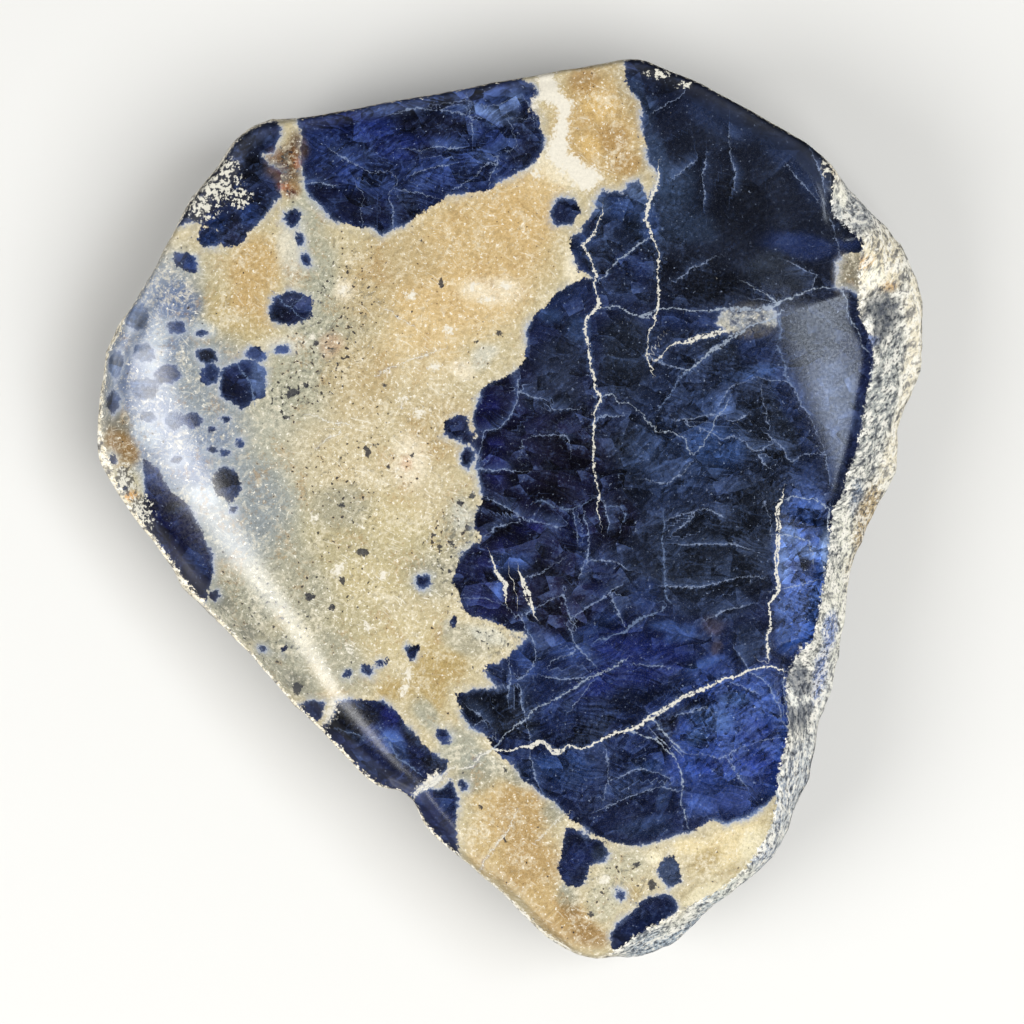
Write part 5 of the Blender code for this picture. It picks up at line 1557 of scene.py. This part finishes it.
# %% Veins
VEIN_LOOKS = {
    "faint": (tone(112, 132, 166), 0.60, 0.38),
    "hair": (tone(146, 162, 192), 0.60, 0.36),
    "side": (tone(158, 170, 186), 0.80, 0.30),
    "white": (tone(226, 222, 208), 0.95, 0.42),
}
shake = wiring.spread(speckle, -0.12, 0.12)
for name, (colour, strength, width) in VEIN_LOOKS.items():
    side = wiring.math("ABSOLUTE", wiring.plus(wiring.layer(f"{name}_vein_side"), shake))
    half_width = wiring.layer(f"{name}_vein_width")
    parted = wiring.step(half_width, 0.17, 0.27)
    side = wiring.math("ABSOLUTE", wiring.minus(side, wiring.times(parted, half_width, 0.5)))
    swelling = wiring.spread(torn, -0.1 * width, 2.1 * width)
    half_width = wiring.times(half_width, swelling, wiring.step(parted, 0, 1, 1, 0.6))
    if name == "hair":
        half_width = wiring.times(half_width, wiring.step(patches, -1.1, 0.5))
    beyond = wiring.minus(side, half_width)
    there = wiring.step(half_width, 0.0, 0.05)
    near = wiring.times(wiring.step(beyond, 0.40, 0.0), there, patchy, 0.35 * strength)
    body = wiring.mix(near, body, PALE_BLUE)
    body = wiring.mix(wiring.step(beyond, 0.04, -0.015, 0.0, strength), body, colour)
print(len(VEIN_LOOKS), "kinds of vein")

# %% [markdown]
# Rough stone scatters light, so it looks paler and duller than polished stone of the same colour. The rim
# has its own tones and a salt-and-pepper grain that follows it: pale parts hold more salt and dark parts
# more pepper. Its tones and its white are also brightened, as painted light, to make up for the lamplight
# that the rim's outward slopes miss. The wall and underside show the body's pattern under a film of dust.

# %% Rough stone
# painted light: the rim's white is brightened beyond its tone to make up for lamplight its slopes miss
RIM_WHITE = wiring.brighten(tone(250, 246, 234), 1.25)
rim_place = wiring.layer("rim_spot", "Vector")
rough_side = wiring.layer("rough_side")
rough = wiring.step(wiring.plus(rough_side, wiring.spread(torn, -0.3, 0.3)), -0.06, 0.12)
streaky = wiring.noise(wiring.along(rim_place, 0, 1.3, 2.0))
salted = wiring.noise(wiring.along(rim_place, 8, 0.42, 0.82))
rim_level = wiring.layer("rim_tone")
pale_part = wiring.step(rim_level, 0.05, 0.32, 0.15, 1.0)
dark_part = wiring.step(rim_level, 0.20, 0.60, 1.0, 0.45)
# painted light: the rim's tones are brightened 1.35 times to make up for lamplight its slopes miss
rim = wiring.brighten(wiring.layer("rim_tone", "Color"), 1.35)
rim = wiring.tint(rim, (84, 90, 104), 0.7, streaky, 0.47, 0.34)
rim = wiring.mix(wiring.times(wiring.step(streaky, 0.50, 0.62, 0.0, 0.8), pale_part), rim, RIM_WHITE)
rim = wiring.mix(wiring.times(wiring.step(salted, 0.47, 0.36, 0.0, 0.85), dark_part), rim, tone(44, 50, 62))
rim = wiring.mix(wiring.times(wiring.step(salted, 0.56, 0.68, 0.0, 0.8), pale_part), rim, RIM_WHITE)

dusty = wiring.mix(wiring.spread(speckle, 0.15, 0.55), body, tone(160, 163, 168))
dusty = wiring.tint(dusty, (206, 200, 186), 0.45, patches, 0.0, 1.2)
dusty = wiring.tint(dusty, (60, 64, 74), 0.6, speckle, 0.42, 0.30)
colour = wiring.mix(rough, body, wiring.mix(wiring.layer("rim_part"), dusty, rim))
print("the rim and the broken stone are coloured")

# %% [markdown]
# Last the surface itself. Polished sodalite has a soft gloss, duller on the chalk. The ground belt is
# matt, and so is broken stone, whose smallest crumbs are bump. The polish has faint pits, which make the
# shine along the bevel grainy.

# %% Gloss and relief
PIT_DEPTH = 0.007 * MM
CRUMB_DEPTH = 0.22 * MM
STONE_IOR = 1.48
WAXED = 0.8
CHALK_ROUGHNESS = 0.5
BELT_ROUGHNESS = 0.65
BROKEN_ROUGHNESS = 0.85


def grey(level):
    """A grey that carries a plain number through a colour mix."""
    return (level, level, level, 1)


gloss = wiring.plus(wiring.spread(gritty, 0.18, 0.30), wiring.step(cloud, -1.4, 1.4, 0.0, 0.06))
gloss = wiring.mix(chalky, gloss, grey(CHALK_ROUGHNESS))
gloss = wiring.mix(wiring.times(wiring.layer("belt"), 0.85), gloss, grey(BELT_ROUGHNESS))
roughness = wiring.mix(rough, gloss, grey(BROKEN_ROUGHNESS))
crumb = wiring.noise(grain_place, 0.45, 2.0, 0.7)
crumb = wiring.times(crumb, wiring.step(rough_side, -0.1, 0.3, PIT_DEPTH / CRUMB_DEPTH, 1.0))
relief = wiring.node("ShaderNodeBump", {"Height": crumb, "Distance": CRUMB_DEPTH}).outputs[0]
for name, value in {"Base Color": colour, "Roughness": roughness, "Normal": relief}.items():
    material.node_tree.links.new(value, shader.inputs[name])
shader.inputs["IOR"].default_value = STONE_IOR
shader.inputs["Specular IOR Level"].default_value = WAXED
mesh.materials.append(material)

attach(stone, "root")
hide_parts("sodalite")
print("the material has", len(material.node_tree.nodes), "nodes")

# %% [markdown]
# The stage is a plain pale floor under a soft sky. Three soft lamps stand where they make the real
# stone's shine. The key, low on the left, is mirrored by the long bevel along its ridge. A dim bluish
# fill on the right is mirrored by the window facet. The top lamp lights the face but isn't mirrored, and
# neither are the floor and the sky, so the level face stays dark and deep.

# %% Floor, sky and lamps
FLOOR_SIZE = 4.0
FLOOR_ROUGHNESS = 0.9
FLOOR_SHINE = 0.1
SKY_OVERHEAD = 0.10
SKY_ALL_ROUND = 0.45
# The upward part of a direction where the sky is dimmest, and where it has its full strength.
SKY_FADE = (0.95, 0.40)
LAMP_DISTANCE = 0.6
LAMPS = {
    # degrees off the vertical, degrees turned from +X, width in m, watts, colour, and whether it is mirrored
    "top_lamp": (28, 335, 0.50, 4.2, (1, 1, 1), False),
    "key_lamp": (48, 199, 0.37, 2.9, (1, 1, 1), True),
    "fill_lamp": (31, 17, 0.13, 0.34, (0.78, 0.87, 1.0), True),
}

bpy.ops.mesh.primitive_plane_add(size=FLOOR_SIZE)
floor = bpy.context.object
floor.name = "floor"
floor_material = bpy.data.materials.new("pale_floor")
floor_material.use_nodes = True
floor_shader = floor_material.node_tree.nodes["Principled BSDF"]
floor_shader.inputs["Base Color"].default_value = tone(238, 237, 233)
floor_shader.inputs["Roughness"].default_value = FLOOR_ROUGHNESS
floor_shader.inputs["Specular IOR Level"].default_value = FLOOR_SHINE
floor.data.materials.append(floor_material)
floor.visible_glossy = False

world = bpy.data.worlds.new("soft_sky")
world.use_nodes = True
bpy.context.scene.world = world
world.cycles_visibility.glossy = False
sky = Wiring(world.node_tree)
direction = sky.node("ShaderNodeTexCoord", {}).outputs["Generated"]
upward = sky.node("ShaderNodeSeparateXYZ", {"Vector": direction}).outputs["Z"]
strength = sky.step(upward, *SKY_FADE, SKY_OVERHEAD, SKY_ALL_ROUND)
background = world.node_tree.nodes["Background"]
world.node_tree.links.new(strength, background.inputs["Strength"])
background.inputs["Color"].default_value = (1, 1, 1, 1)

for name, (tilt, turn, width, power, glow, mirrored) in LAMPS.items():
    light = bpy.data.lights.new(name, "AREA")
    light.shape = "DISK"
    light.size = width
    light.energy = power
    light.color = glow
    lamp = bpy.data.objects.new(name, light)
    tilt, turn = math.radians(tilt), math.radians(turn)
    toward = Vector((math.sin(tilt) * math.cos(turn), math.sin(tilt) * math.sin(turn), math.cos(tilt)))
    lamp.location = toward * LAMP_DISTANCE
    lamp.rotation_euler = toward.to_track_quat("Z", "Y").to_euler()
    lamp.visible_glossy = mirrored
    bpy.context.scene.collection.objects.link(lamp)
    print(name, "stands", [round(v, 2) for v in lamp.location], "m from the stone")

# %% [markdown]
# The camera is the sheet's eye: straight above, 350 mm over the face, with a lens that fits the sheet's
# 102.4 mm into the picture.

# %% The camera
SHEET_SIZE = 102.4
FILM_WIDTH = 36.0
NEAREST_SEEN = 0.01

camera_data = bpy.data.cameras.new("eye")
camera_data.sensor_width = FILM_WIDTH
camera_data.lens = FILM_WIDTH * EYE_HEIGHT / SHEET_SIZE
camera_data.clip_start = NEAREST_SEEN
camera = bpy.data.objects.new("eye", camera_data)
eye_x = (EYE[0] - SHEET_MIDDLE[0]) * MM
eye_y = (SHEET_MIDDLE[1] - EYE[1]) * MM
camera.location = (eye_x, eye_y, (THICKNESS + EYE_HEIGHT) * MM)
bpy.context.scene.collection.objects.link(camera)
bpy.context.scene.camera = camera
bpy.context.scene.view_settings.view_transform = "Standard"
print("the lens is", round(camera_data.lens, 1), "mm")
